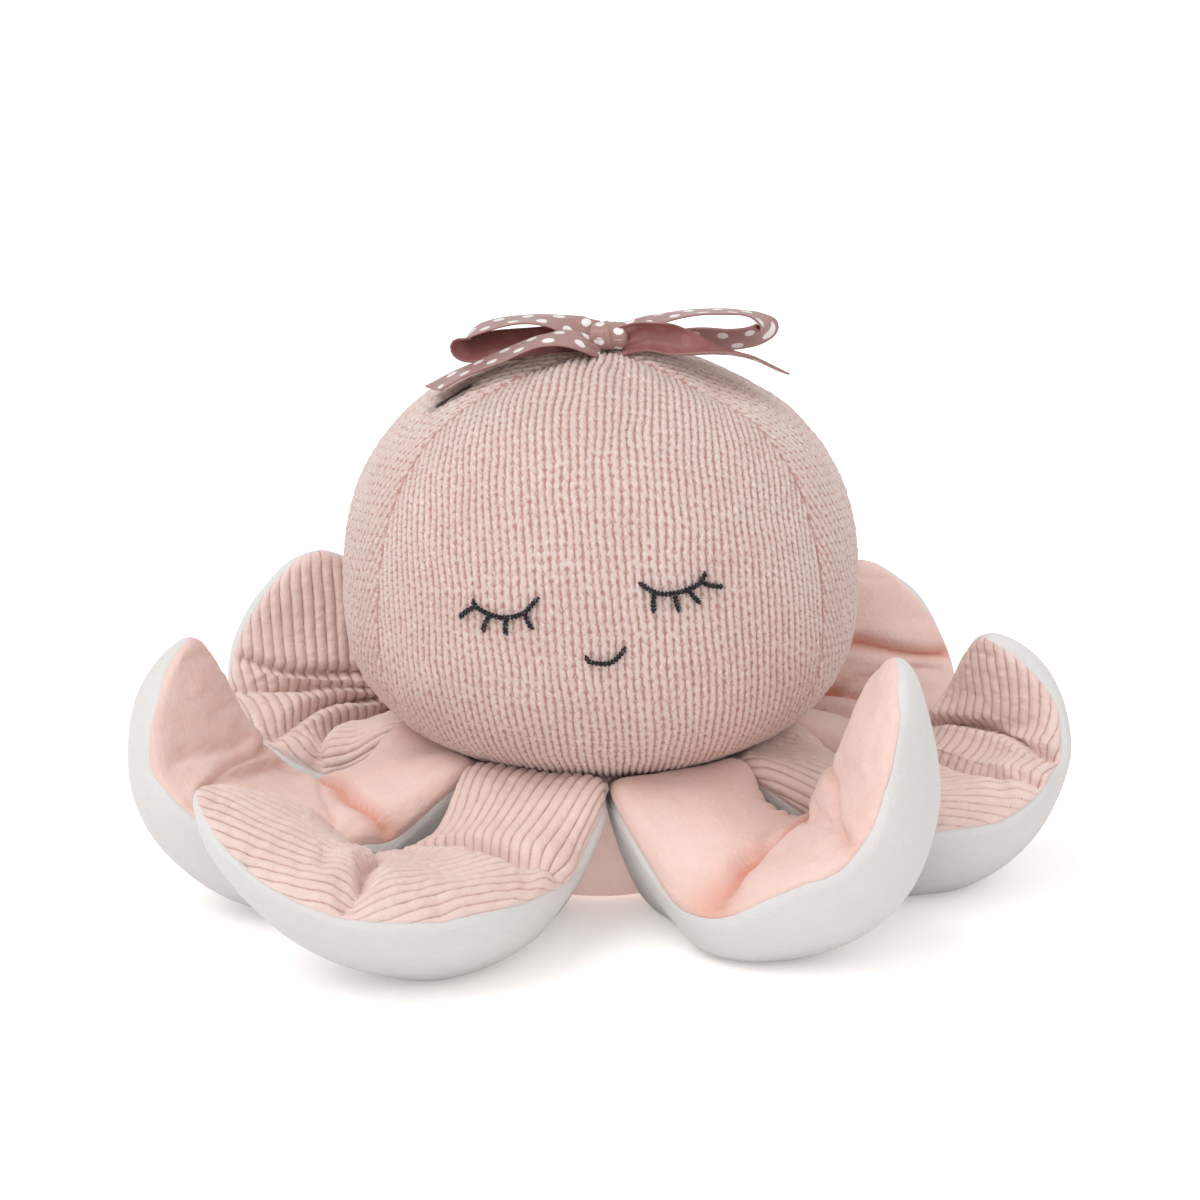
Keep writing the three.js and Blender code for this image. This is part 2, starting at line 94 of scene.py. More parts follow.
class OctopusHead(bpy.types.PropertyGroup):
    """Sizes and colours of the knitted head"""

    width: length("Width", 119, "Width of the head at its widest line")
    above: length("Above", 55, "From the widest line to the top")
    below: length("Below", 39, "From the widest line to the underside")
    floor_gap: length("Floor gap", 27.5, "From the floor to the head's underside")
    fullness_above: share("Fullness above", 2.5, "2 is an ellipsoid, more is fuller")
    fullness_below: share("Fullness below", 2.25, "2 is an ellipsoid, more is fuller")
    opening: length("Opening", 24.5, "Radius of the opening that is sewn to the base")
    thickness: length("Thickness", 1.5, "Thickness of the knit")
    wale: length("Wale", 3.7, "Width of one column of stitches at the widest line")
    row: length("Row", 2.65, "Height of one row of stitches")
    relief: length("Relief", 0.85, "Height of a stitch above the hollow beside it")
    panel_turn: angle(
        "Front panel", 57, "Angle from the middle of the face to the line where the side stitches join"
    )
    slant: angle("Slant", 27, "Slant of the side stitches")
    lean: angle("Lean", 5, "Lean of the front stitches, to the right going down")
    # The hollow colour is painted shade, which the knit takes where its stitches are low
    ridge: colour("Stitch", "dbc8c1", "Colour of the knit on top of a stitch")
    hollow: colour("Hollow", "bb8c81", "Colour of the knit between the stitches")
    hair: colour("Hair", "f7efeb", "Colour of the loose fibres on the knit")
    # The pucker colour is painted shade deep in the crease under the bow's left tail
    pucker: colour("Pucker", "33231e", "Colour deep in the short pucker under the bow's left tail")


class OctopusLegs(bpy.types.PropertyGroup):
    """Sizes and colours of the padded legs"""

    width: length("Width", 50, "Full width of a leg")
    length: length("Length", 110, "Usual length of a leg from its root to its tip")
    root_thickness: length("Root thickness", 19, "Thickness of a leg where it flexes")
    depth: length("Depth", 16.5, "Bulge of the underside below the seam")
    bulge: length("Top bulge", 8, "Bulge of the top panel above the seam")
    cup: length("Cup", 7, "How far the long edges stand above the middle")
    wide_at: length("Wide at", 58, "Length at which a leg has its full width")
    taper_from: length("Taper from", 52, "Length at which the tip begins to narrow")
    tip_thinning: share("Tip thinning", 0.35, "Share of the underside's bulge that is lost at the tip")
    floor_flat: length("Floor flat", 0.7, "How deep a resting leg is pressed flat")
    thickness: length("Panel thickness", 1.2, "Thickness of a panel")
    rib: length("Rib", 2.6, "Width of one rib of the corduroy")
    rib_depth: length("Rib depth", 1.0, "Depth of the valley between two ribs")
    slack_along: share("Slack along", 1.22, "Length of the flat top panel against the curled one")
    slack_across: share("Slack across", 1.04, "Width of the flat top panel against the curled one")
    # The valley colour is painted shade between the ribs
    rib_top: colour("Rib", "e9d2ca", "Colour of the corduroy on a rib")
    rib_valley: colour("Valley", "b9887d", "Colour of the corduroy between two ribs")
    peach: colour("Peach velour", "ecd0c7", "Colour of the velour tops")
    # Besides the velour's darker patches, its deep colour is painted shade in the folds
    peach_deep: colour("Peach in the folds", "dc947d", "Colour of the velour where the pile opens")
    white: colour("White velour", "dddbd9", "Colour of the undersides")
    fibre: colour("Filling", "f4f2ee", "Colour of the polyester fibre")


class OctopusFace(bpy.types.PropertyGroup):
    """Sizes and colours of the embroidered face"""

    stroke: length("Stroke", 1.25, "Width of an embroidered line")
    ply_turn: length("Ply turn", 1.7, "Length over which the two plies of the thread turn once")
    thread: colour("Thread", "1d1b1d", "Colour of the thread")


class OctopusBow(bpy.types.PropertyGroup):
    """Sizes and colours of the ribbon bow"""

    ribbon: length("Ribbon", 10, "Width of the ribbon")
    thickness: length("Thickness", 0.45, "Thickness of the ribbon")
    gather: length("Gather", 7.2, "Width of the ribbon where it enters the knot")
    gather_length: length("Gather length", 8, "Length over which the ribbon is gathered")
    dot: length("Dot", 2.6, "Diameter of a white dot")
    dot_pitch: length("Dot pitch", 3.3, "Distance along the ribbon from one dot to the next")
    satin: colour("Satin", "a9827d", "Colour of the printed face of the ribbon")
    satin_back: colour("Satin back", "935c58", "Colour of the ribbon's other face")
    dots: colour("Dots", "efeceb", "Colour of the dots")


class OctopusStage(bpy.types.PropertyGroup):
    """The photograph's camera, floor and light"""

    distance: length("Camera distance", 900, "From the camera to the point that it looks at")
    target_height: length("Target height", 65, "Height of the point that the camera looks at")
    elevation: angle("Elevation", 15, "Camera height as an angle")
    lens: share("Lens", 116.9, "Focal length in millimetres on a 36 mm wide sensor")
    sky: share("Sky", 0.72, "Brightness of the even light from all round")
    fill: share("Fill", 0.7, "Strength of the broad light from the camera's side")
    key: share("Key", 1.1, "Strength of the soft light from above on the left")
    floor: colour("Floor", "fdfcfc", "Colour of the floor")
    glow: colour("Glow", "999592", "Light that the camera sees from the floor itself, which thins the shadow")


SETTINGS = {
    "octopus_head": OctopusHead,
    "octopus_legs": OctopusLegs,
    "octopus_face": OctopusFace,
    "octopus_bow": OctopusBow,
    "octopus_stage": OctopusStage,
}


# Arithmetic on arrays

def lerp(a, b, t):
    return a + (b - a) * t


def smoothstep(x, low, high):
    t = np.clip((x - low) / (high - low), 0, 1)
    return t * t * (3 - 2 * t)


def unit(v):
    return v / np.maximum(np.linalg.norm(v, axis=-1, keepdims=True), 1e-12)


SCATTER_STEPS = (12.9898, 78.233, 37.719)  # unrelated factors, so that neighbouring cells come out unlike
SCATTER_SPREAD = 43758.5453


def scatter(*cells):
    """A repeatable number from 0 to 1 for each whole-numbered cell"""
    mixed = sum(c * k for c, k in zip(cells, SCATTER_STEPS))
    value = np.sin(mixed) * SCATTER_SPREAD
    return value - np.floor(value)


def drift(x, y, size, seed):
    """Smooth noise from -1 to 1 over a plane, with bumps about size across. The seed picks the pattern."""
    x, y = x / size, y / size
    cell_x, cell_y = np.floor(x), np.floor(y)
    u, v = x - cell_x, y - cell_y
    u, v = u * u * (3 - 2 * u), v * v * (3 - 2 * v)
    corners = [scatter(cell_x + i, cell_y + j, seed) for i in (0, 1) for j in (0, 1)]
    low = lerp(corners[0], corners[1], v)
    high = lerp(corners[2], corners[3], v)
    return 2 * lerp(low, high, u) - 1


def resample(values, places):
    """Values at fractional row numbers, on smooth curves through the rows"""
    last = len(values) - 1
    whole = np.clip(np.floor(places).astype(int), 0, last - 1)
    t = (places - whole).reshape((-1,) + (1,) * (values.ndim - 1))
    before, start, end, after = (values[np.clip(whole + k, 0, last)] for k in (-1, 0, 1, 2))
    bend = 2 * before - 5 * start + 4 * end - after
    turn = 3 * (start - end) + after - before
    return start + 0.5 * t * (end - before + t * (bend + t * turn))


def resize(grid, rows, columns):
    """A grid of points with new counts of rows and columns, on smooth curves through the old ones"""
    tall = resample(grid, np.linspace(0, len(grid) - 1, rows))
    return resample(tall.swapaxes(0, 1), np.linspace(0, grid.shape[1] - 1, columns)).swapaxes(0, 1)


def normals(grid):
    """Unit normals of a grid of points, along row direction x column direction"""
    return unit(np.cross(np.gradient(grid, axis=0), np.gradient(grid, axis=1)))


def row_lengths(grid):
    """The length along its row of each point of a grid"""
    steps = np.linalg.norm(np.diff(grid, axis=1), axis=2)
    return np.concatenate([np.zeros((len(grid), 1)), np.cumsum(steps, axis=1)], axis=1)


def from_middle(grid):
    """The distance of each point from the middle of its row, along the row"""
    places = row_lengths(grid)
    return places - places[:, -1:] / 2


def even_columns(grid, columns):
    """Each row of a grid redrawn with points evenly spaced along it"""
    result = np.empty((len(grid), columns, 3))
    for row, places in enumerate(row_lengths(grid)):
        wanted = np.linspace(0, places[-1], columns)
        for axis in range(3):
            result[row, :, axis] = np.interp(wanted, places, grid[row, :, axis])
    return result


def path_lengths(path):
    """The length along a path at each of its points"""
    return np.concatenate([[0], np.cumsum(np.linalg.norm(np.diff(path, axis=0), axis=1))])


def at_lengths(values, places, wanted):
    """Rows of values, known at some lengths, at other lengths"""
    return np.stack([np.interp(wanted, places, values[:, k]) for k in range(values.shape[1])], axis=-1)


def full_turn(count):
    """Angles evenly round a circle"""
    return np.linspace(0, 2 * math.pi, count + 1)[:-1]


# Meshes from grids

def grid_quads(numbers):
    """Quads between the rows and columns of a grid of point numbers"""
    corners = (numbers[:-1, :-1], numbers[1:, :-1], numbers[1:, 1:], numbers[:-1, 1:])
    return np.stack([c.ravel() for c in corners], axis=1)


def edge_fans(fine, coarse, step, turned):
    """Triangles between a fine edge and a coarse one that has a point for each step of the fine one"""
    fans = []
    for j in range(len(coarse) - 1):
        part = fine[j * step:(j + 1) * step + 1]
        fans += [(part[i], part[i + 1], coarse[j]) for i in range(step)]
        fans.append((coarse[j], part[step], coarse[j + 1]))
    fans = np.array(fans)
    return fans[:, ::-1] if turned else fans


def lined_sheet(face, lining, step):
    """A closed sheet: a fine grid for its face, a coarse one for its lining, and their edges joined"""
    rows, columns = face.shape[:2]
    fine = np.arange(rows * columns).reshape(rows, columns)
    coarse = rows * columns + np.arange(lining.shape[0] * lining.shape[1]).reshape(lining.shape[:2])
    quads = np.concatenate([grid_quads(fine), grid_quads(coarse)[:, ::-1]])
    edges = [
        edge_fans(fine[0], coarse[0], step, False),
        edge_fans(fine[-1], coarse[-1], step, True),
        edge_fans(fine[:, 0], coarse[:, 0], step, True),
        edge_fans(fine[:, -1], coarse[:, -1], step, False),
    ]
    points = np.concatenate([face.reshape(-1, 3), lining.reshape(-1, 3)])
    return points, quads, np.concatenate(edges)


def ring_quads(numbers):
    """Quads round a grid whose columns close on themselves"""
    return grid_quads(np.concatenate([numbers, numbers[:, :1]], axis=1))


def tube(rings):
    """A closed tube through rings of points, with a fan at each end"""
    count, sides = rings.shape[:2]
    numbers = np.arange(count * sides).reshape(count, sides)
    points = np.concatenate([rings.reshape(-1, 3), rings[0].mean(0)[None], rings[-1].mean(0)[None]])
    first, last = count * sides, count * sides + 1
    following = np.roll(np.arange(sides), -1)
    caps = [(first, numbers[0, i], numbers[0, following[i]]) for i in range(sides)]
    caps += [(last, numbers[-1, following[i]], numbers[-1, i]) for i in range(sides)]
    return points, ring_quads(numbers), np.array(caps)


def make_piece(name, points, quads, triangles, material, cloth=None, relief=None):
    """An object from points and faces. cloth is where each point lies on the flat cloth. relief is a share
    that the material reads: the height of a rib or stitch, the depth in a fold, or 1 on a printed face. The
    knit and the corduroy paint shade where it is low, and the velour paints shade where it marks a fold."""
    mesh = bpy.data.meshes.new(name)
    corners = np.concatenate([quads.ravel(), triangles.ravel()]).astype(np.int32)
    sizes = np.concatenate([np.full(len(quads), 4), np.full(len(triangles), 3)])
    starts = np.concatenate([[0], np.cumsum(sizes)[:-1]]).astype(np.int32)
    mesh.vertices.add(len(points))
    mesh.vertices.foreach_set("co", points.astype(np.float32).ravel())
    mesh.loops.add(len(corners))
    mesh.loops.foreach_set("vertex_index", corners)
    mesh.polygons.add(len(sizes))
    mesh.polygons.foreach_set("loop_start", starts)
    mesh.polygons.foreach_set("use_smooth", np.ones(len(sizes), bool))
    mesh.update(calc_edges=True)
    for label, kind, field, values in (
        ("cloth", "FLOAT_VECTOR", "vector", cloth),
        ("relief", "FLOAT", "value", relief),
    ):
        if values is not None:
            attribute = mesh.attributes.new(label, kind, "POINT")
            attribute.data.foreach_set(field, fill_to(values, len(points)).astype(np.float32).ravel())
    mesh.materials.append(material)
    piece = bpy.data.objects.new(name, mesh)
    bpy.context.scene.collection.objects.link(piece)
    return piece


def fill_to(values, count):
    """Values for all points of a piece, with zeros for those after the given ones"""
    missing = count - len(values)
    return np.concatenate([values, np.zeros((missing,) + values.shape[1:])])


# Materials

def add_node(tree, kind, inputs=None, **settings):
    """A node with its settings made and each input set to a value or joined to another node's socket"""
    node = tree.nodes.new(kind)
    for name, value in settings.items():
        setattr(node, name, value)
    for name, value in (inputs or {}).items():
        if isinstance(value, bpy.types.NodeSocket):
            tree.links.new(value, node.inputs[name])
        else:
            node.inputs[name].default_value = value
    return node


def noise(tree, vector, scale, detail=2.0, roughness=0.5):
    inputs = {"Vector": vector, "Scale": scale, "Detail": detail, "Roughness": roughness}
    return add_node(tree, "ShaderNodeTexNoise", inputs).outputs["Fac"]


def calculate(tree, operation, a, b=0.0, c=0.0, clamp=False):
    node = add_node(tree, "ShaderNodeMath", {0: a, 1: b, 2: c}, operation=operation, use_clamp=clamp)
    return node.outputs[0]


def grade(tree, value, given, wanted, **settings):
    """A value that runs between the two wanted ones as another runs between the two given ones"""
    inputs = {
        "Value": value, "From Min": given[0], "From Max": given[1], "To Min": wanted[0], "To Max": wanted[1]
    }
    return add_node(tree, "ShaderNodeMapRange", inputs, **settings).outputs["Result"]


def blend_colour(tree, factor, a, b):
    node = add_node(tree, "ShaderNodeMix", {0: factor, 6: a, 7: b}, data_type="RGBA", clamp_factor=True)
    return node.outputs[2]


def stretch(tree, vector, scale):
    return add_node(tree, "ShaderNodeMapping", {"Vector": vector, "Scale": scale}).outputs["Vector"]


def new_group(name, inputs, outputs):
    """An empty node group. inputs are (name, kind, default) and outputs are (name, kind)."""
    group = bpy.data.node_groups.new(name, "ShaderNodeTree")
    for label, kind, default in inputs:
        socket = group.interface.new_socket(label, in_out="INPUT", socket_type=kind)
        if default is not None:
            socket.default_value = default
    for label, kind in outputs:
        group.interface.new_socket(label, in_out="OUTPUT", socket_type=kind)
    entry = group.nodes.new("NodeGroupInput")
    leave = group.nodes.new("NodeGroupOutput")
    return group, entry.outputs, leave.inputs


def soft_tint_group():
    """Slow changes of shade over a cloth, as dye and handling leave them"""
    group, given, wanted = new_group(
        "Soft tint",
        [
            ("Cloth", "NodeSocketVector", None),
            ("Color", "NodeSocketColor", (0.8, 0.8, 0.8, 1)),
            ("Deep Color", "NodeSocketColor", (0.6, 0.6, 0.6, 1)),
            ("Patch Scale", "NodeSocketFloat", 60.0),
            ("Amount", "NodeSocketFloat", 0.3),
        ],
        [("Color", "NodeSocketColor")],
    )
    wide = noise(group, given["Cloth"], given["Patch Scale"], detail=3.0)
    fine_scale = calculate(group, "MULTIPLY", given["Patch Scale"], 9.0)
    fine = noise(group, given["Cloth"], fine_scale)
    both = calculate(group, "MULTIPLY_ADD", fine, 0.4, calculate(group, "MULTIPLY", wide, 0.9))
    mask = grade(group, both, (0.5, 0.85), (0.0, 1.0))
    factor = calculate(group, "MULTIPLY", mask, given["Amount"], clamp=True)
    group.links.new(blend_colour(group, factor, given["Color"], given["Deep Color"]), wanted["Color"])
    return group


def fibre_group():
    """Height of loose fibres and pile, finer than the mesh can hold"""
    group, given, wanted = new_group(
        "Fibres",
        [
            ("Cloth", "NodeSocketVector", None),
            ("Scale", "NodeSocketFloat", 900.0),
            ("Stretch", "NodeSocketVector", (1.0, 1.0, 1.0)),
        ],
        [("Height", "NodeSocketFloat")],
    )
    place = stretch(group, given["Cloth"], given["Stretch"])
    pile = noise(group, place, given["Scale"], detail=4.0, roughness=0.65)
    coarse_scale = calculate(group, "MULTIPLY", given["Scale"], 0.3)
    clumps = noise(group, place, coarse_scale)
    group.links.new(calculate(group, "MULTIPLY_ADD", clumps, 0.6, pile), wanted["Height"])
    return group


GROUPS = {}
MATERIALS = {}


def use_group(tree, make, inputs):
    """The output of one of the node groups that several materials use. It is made on first use."""
    if make not in GROUPS:
        GROUPS[make] = make()
    return add_node(tree, "ShaderNodeGroup", inputs, node_tree=GROUPS[make]).outputs[0]


def soft_tint(tree, place, light, deep, patch_scale, amount):
    """A cloth's colour with soft patches of a deeper one, as many to a metre as patch_scale says"""
    return use_group(
        tree,
        soft_tint_group,
        {
            "Cloth": place,
            "Color": tuple(light),
            "Deep Color": tuple(deep),
            "Patch Scale": patch_scale,
            "Amount": amount,
        },
    )


def fibre_bump(tree, shader, place, scale, along, distance, strength=1.0):
    """Fine fibres that stand out by distance. along stretches them over the cloth."""
    height = use_group(tree, fibre_group, {"Cloth": place, "Scale": scale, "Stretch": along})
    node = add_node(tree, "ShaderNodeBump", {"Height": height, "Distance": distance, "Strength": strength})
    tree.links.new(node.outputs["Normal"], shader.inputs["Normal"])


def new_material(name):
    """A material with an empty Principled shader, and its tree"""
    material = bpy.data.materials.new(name)
    material.use_nodes = True
    tree = material.node_tree
    tree.nodes.clear()
    shader = tree.nodes.new("ShaderNodeBsdfPrincipled")
    output = tree.nodes.new("ShaderNodeOutputMaterial")
    tree.links.new(shader.outputs["BSDF"], output.inputs["Surface"])
    return material, tree, shader


def paint(tree, shader, factor, a, b):
    """Give the shader a base colour that is blended from two"""
    tree.links.new(blend_colour(tree, factor, a, b), shader.inputs["Base Color"])


def cloth_place(tree):
    return add_node(tree, "ShaderNodeAttribute", attribute_name="cloth").outputs["Vector"]


def cloth_relief(tree):
    return add_node(tree, "ShaderNodeAttribute", attribute_name="relief").outputs["Fac"]


def cloth_parts(tree, place):
    return add_node(tree, "ShaderNodeSeparateXYZ", {"Vector": place}).outputs


def set_inputs(node, **values):
    """Set inputs by their names, with an underscore for each space"""
    for name, value in values.items():
        node.inputs[name.replace("_", " ")].default_value = value


def dull_cloth(shader, roughness, sheen, sheen_roughness, tint):
    """The shader values that all the matt fabrics set in their own way"""
    set_inputs(shader, Roughness=roughness, Specular_IOR_Level=0.2)
    set_inputs(shader, Sheen_Weight=sheen, Sheen_Roughness=sheen_roughness, Sheen_Tint=tint)


def shaded(tint, brightness):
    """A colour made darker or lighter"""
    return tuple(min(1.0, brightness * level) for level in tint[:3]) + (1.0,)


# Where a stitch dives under the next one, the knit paints shade, as if the stitch lay lower there
DIVE_SLANT = 1.3  # rows by which the line where a stitch dives under the next one slants over a wale
DIVE_REACH = 0.18  # share of a row over which it dives
DIVE_SHADE = 0.36  # how much lower than it is it looks there, which the knit paints as shade
PUCKER_SHOWN = (-0.15, -0.35)  # the third cloth coordinate where the painted shade in the pucker starts and is full


def knit_material(head):
    material, tree, shader = new_material("Pink stockinette")
    place = cloth_place(tree)
    parts = cloth_parts(tree, place)
    tinted = soft_tint(tree, place, head.ridge, head.hollow, patch_scale=45.0, amount=0.25)
    # Painted shade: the hollow colour where a stitch is low or dives under the next one
    sideways = calculate(tree, "PINGPONG", calculate(tree, "DIVIDE", parts["X"], head.wale), 0.5)
    upward = calculate(tree, "DIVIDE", parts["Y"], head.row)
    dive = calculate(tree, "PINGPONG", calculate(tree, "MULTIPLY_ADD", sideways, DIVE_SLANT, upward), 0.5)
    dive_shade = grade(tree, dive, (0.0, DIVE_REACH), (DIVE_SHADE, 0.0))
    shown = calculate(tree, "SUBTRACT", cloth_relief(tree), dive_shade)
    low = grade(tree, shown, (0.0, 0.6), (1.0, 0.0), interpolation_type="SMOOTHSTEP")
    knitted = blend_colour(tree, low, tinted, tuple(head.hollow))
    strewn = noise(tree, stretch(tree, place, (1.0, 0.4, 1.0)), scale=2000.0, detail=3.0, roughness=0.7)
    hairy = grade(tree, strewn, (0.5, 0.7), (0.0, 0.6))
    knitted = blend_colour(tree, hairy, knitted, tuple(head.hair))
    # Painted shade deep in the pucker under the bow's left tail
    paint(tree, shader, grade(tree, parts["Z"], PUCKER_SHOWN, (0.0, 1.0)), knitted, tuple(head.pucker))
    fibre_bump(tree, shader, place, 1500.0, (1.0, 0.45, 1.0), distance=0.35 * MM, strength=0.8)
    dull_cloth(shader, roughness=0.95, sheen=0.35, sheen_roughness=0.55, tint=(1.0, 0.93, 0.91, 1))
    return material


def corduroy_material(legs):
    material, tree, shader = new_material("Pink corduroy")
    place = cloth_place(tree)
    tinted = soft_tint(tree, place, legs.rib_top, legs.rib_valley, patch_scale=70.0, amount=0.2)
    # Painted shade: the valley colour where a rib is low
    low = grade(tree, cloth_relief(tree), (0.0, 0.5), (1.0, 0.0), interpolation_type="SMOOTHSTEP")
    paint(tree, shader, low, tinted, tuple(legs.rib_valley))
    fibre_bump(tree, shader, place, 1300.0, (0.6, 1.0, 1.0), distance=0.4 * MM, strength=0.8)
    dull_cloth(shader, roughness=0.95, sheen=0.3, sheen_roughness=0.5, tint=(1.0, 0.94, 0.92, 1))
    return material


def velour_material(name, light, deep, amount):
    """Velour with patches of its deep colour where the pile is brushed, and that colour as painted shade in
    the folds, which relief marks
    """
    material, tree, shader = new_material(name)
    place = cloth_place(tree)
    brushed = stretch(tree, place, (1.0, 0.55, 1.0))
    tinted = soft_tint(tree, brushed, light, deep, patch_scale=85.0, amount=amount)
    # Painted shade: the deep colour in the folds that relief marks
    fold_shade = calculate(tree, "MULTIPLY", cloth_relief(tree), 0.85, clamp=True)
    paint(tree, shader, fold_shade, tinted, tuple(deep))
    fibre_bump(tree, shader, place, 1100.0, (1.0, 0.7, 1.0), distance=0.45 * MM, strength=0.7)
    dull_cloth(shader, roughness=0.9, sheen=0.5, sheen_roughness=0.45, tint=(1.0, 0.96, 0.94, 1))
    return material


def peach_velour_material(legs):
    return velour_material("Peach velour", legs.peach, legs.peach_deep, amount=0.22)


def white_velour_material(legs):
    return velour_material("White velour", legs.white, shaded(legs.white, 0.8), amount=0.2)


def base_velour_material(legs):
    """The velour under the middle. It glows faintly in its own peach colour: painted light that stands in for
    the pink light from the legs around it filling its shade
    """
    material = velour_material("Velour with painted glow", legs.peach, legs.peach_deep, amount=0.2)
    shader = material.node_tree.nodes["Principled BSDF"]
    # Painted light: a faint glow in the peach colour
    set_inputs(shader, Emission_Color=tuple(legs.peach), Emission_Strength=0.3)
    return material


def fibre_material(legs):
    material, tree, shader = new_material("Polyester fibre")
    place = add_node(tree, "ShaderNodeTexCoord").outputs["Object"]
    tinted = soft_tint(tree, place, legs.fibre, shaded(legs.fibre, 0.82), patch_scale=120.0, amount=0.6)
    tree.links.new(tinted, shader.inputs["Base Color"])
    fibre_bump(tree, shader, place, 500.0, (1.0, 1.0, 0.3), distance=1.2 * MM)
    dull_cloth(shader, roughness=1.0, sheen=0.4, sheen_roughness=0.5, tint=(1, 1, 1, 1))
    return material


def thread_material(face):
    """Dark thread with light specks where its strands catch the light"""
    material, tree, shader = new_material("Charcoal thread")
    place = cloth_place(tree)
    specks = noise(tree, place, scale=1700.0, roughness=0.6)
    lit = grade(tree, specks, (0.55, 0.68), (0.0, 1.0))
    paint(tree, shader, lit, tuple(face.thread), shaded(face.thread, 20))
    fibre_bump(tree, shader, place, 2200.0, (1.0, 0.3, 1.0), distance=0.15 * MM)
    dull_cloth(shader, roughness=0.6, sheen=0.25, sheen_roughness=0.4, tint=(1, 1, 1, 1))
    return material


DOT_BLUR = 0.12 * MM  # how far the edge of a printed dot runs in and out


def satin_material(bow):
    """Satin with round white dots in two staggered lines on its printed face, which show faintly through"""
    material, tree, shader = new_material("Dusty rose satin")
    place = cloth_place(tree)
    printed = cloth_relief(tree)
    parts = cloth_parts(tree, place)
    counted = calculate(tree, "DIVIDE", parts["Y"], bow.dot_pitch)
    number = calculate(tree, "ROUND", counted)
    along = calculate(tree, "MULTIPLY", calculate(tree, "SUBTRACT", counted, number), bow.dot_pitch)
    odd = calculate(tree, "PINGPONG", number, 1.0)
    middle = calculate(tree, "MULTIPLY_ADD", odd, 0.5 * bow.ribbon, -0.25 * bow.ribbon)
    across = calculate(tree, "SUBTRACT", parts["X"], middle)
    square = calculate(tree, "MULTIPLY_ADD", along, along, calculate(tree, "MULTIPLY", across, across))
    distance = calculate(tree, "SQRT", square)
    dot = grade(tree, distance, (0.5 * bow.dot - DOT_BLUR, 0.5 * bow.dot + DOT_BLUR), (1.0, 0.0))
    face = soft_tint(tree, place, bow.satin, shaded(bow.satin, 0.72), patch_scale=160.0, amount=0.35)
    faint = calculate(tree, "MULTIPLY", dot, 0.25)
    faded = blend_colour(tree, faint, tuple(bow.satin_back), tuple(bow.satin))
    sided = blend_colour(tree, printed, faded, face)
    paint(tree, shader, calculate(tree, "MULTIPLY", dot, printed), sided, tuple(bow.dots))
    fibre_bump(tree, shader, place, 2600.0, (1.0, 0.12, 1.0), distance=0.08 * MM, strength=0.7)
    set_inputs(shader, Roughness=0.36, Anisotropic=0.5, Specular_IOR_Level=0.5)
    set_inputs(shader, Sheen_Weight=0.25, Sheen_Roughness=0.3, Sheen_Tint=(1.0, 0.86, 0.84, 1))
    return material


MAKERS = {
    "pink_knit": (knit_material, "octopus_head"),
    "pink_corduroy": (corduroy_material, "octopus_legs"),
    "peach_velour": (peach_velour_material, "octopus_legs"),
    "white_velour": (white_velour_material, "octopus_legs"),
    "base_velour": (base_velour_material, "octopus_legs"),
    "fibre_filling": (fibre_material, "octopus_legs"),
    "dark_thread": (thread_material, "octopus_face"),
    "rose_satin": (satin_material, "octopus_bow"),
}


def finish_of(slot):
    """The material for one of the record's slots, or the base panel's own. It is made on first use."""
    if slot not in MATERIALS:
        maker, group = MAKERS[slot]
        MATERIALS[slot] = maker(getattr(bpy.context.scene, group))
    return MATERIALS[slot]


# Head

MERIDIAN_POINTS = 4001


class HeadShape:
    """The head as a body of revolution, measured along its meridian from the top"""

    def __init__(self, head):
        self.radius = head.width / 2
        self.waist = head.floor_gap + head.below
        self.head = head
        polar = np.linspace(0, math.pi, MERIDIAN_POINTS)[1:-1]
        above = polar < math.pi / 2
        power = 2 / np.where(above, head.fullness_above, head.fullness_below)
        reach = np.where(above, head.above, -head.below)
        radius = self.radius * np.sin(polar) ** power
        height = self.waist + reach * np.abs(np.cos(polar)) ** power
        kept = above | (radius > head.opening)
        radius, height = radius[kept], height[kept]
        steps = np.hypot(np.diff(radius), np.diff(height))
        self.along = np.concatenate([[0], np.cumsum(steps)])
        self.radii, self.heights = radius, height
        self.length = self.along[-1]
        self.waist_along = self.along[np.argmax(radius)]

    def at(self, turn, along):
        """Points and outward normals at angles from the middle of the face and lengths from the top"""
        radius = np.interp(along, self.along, self.radii)
        height = np.interp(along, self.along, self.heights)
        out = -np.gradient(self.heights, self.along)
        rise = np.gradient(self.radii, self.along)
        normal_out = np.interp(along, self.along, out)
        normal_up = np.interp(along, self.along, rise)
        points = np.stack([radius * np.sin(turn), -radius * np.cos(turn), height], axis=-1)
        facing = np.stack([normal_out * np.sin(turn), -normal_out * np.cos(turn), normal_up], axis=-1)
        return points, unit(facing), radius

    def row_along(self, turn, along):
        """Where a row of stitches above the waist crosses the middle of the face. The rows lie on planes that
        meet in a line from side to side at the height of the waist."""
        tilts = np.arctan2(self.radii, self.heights - self.waist)
        radius = np.interp(along, self.along, self.radii)
        height = np.interp(along, self.along, self.heights)
        return np.interp(np.arctan2(radius * np.cos(turn), height - self.waist), tilts, self.along)

    def underside(self, radius):
        """Height of the underside at a distance from the middle"""
        power = self.head.fullness_below
        inner = 1 - np.clip(radius / self.radius, 0, 1) ** power
        return self.waist - self.head.below * inner ** (1 / power)

    def front(self, x, z):
        """The length from the top and the angle from the middle of the face at a place on the front"""
        radius = np.interp(z, self.heights[::-1], self.radii[::-1])
        along = np.interp(z, self.heights[::-1], self.along[::-1])
        return np.arcsin(np.clip(x / radius, -1, 1)), along


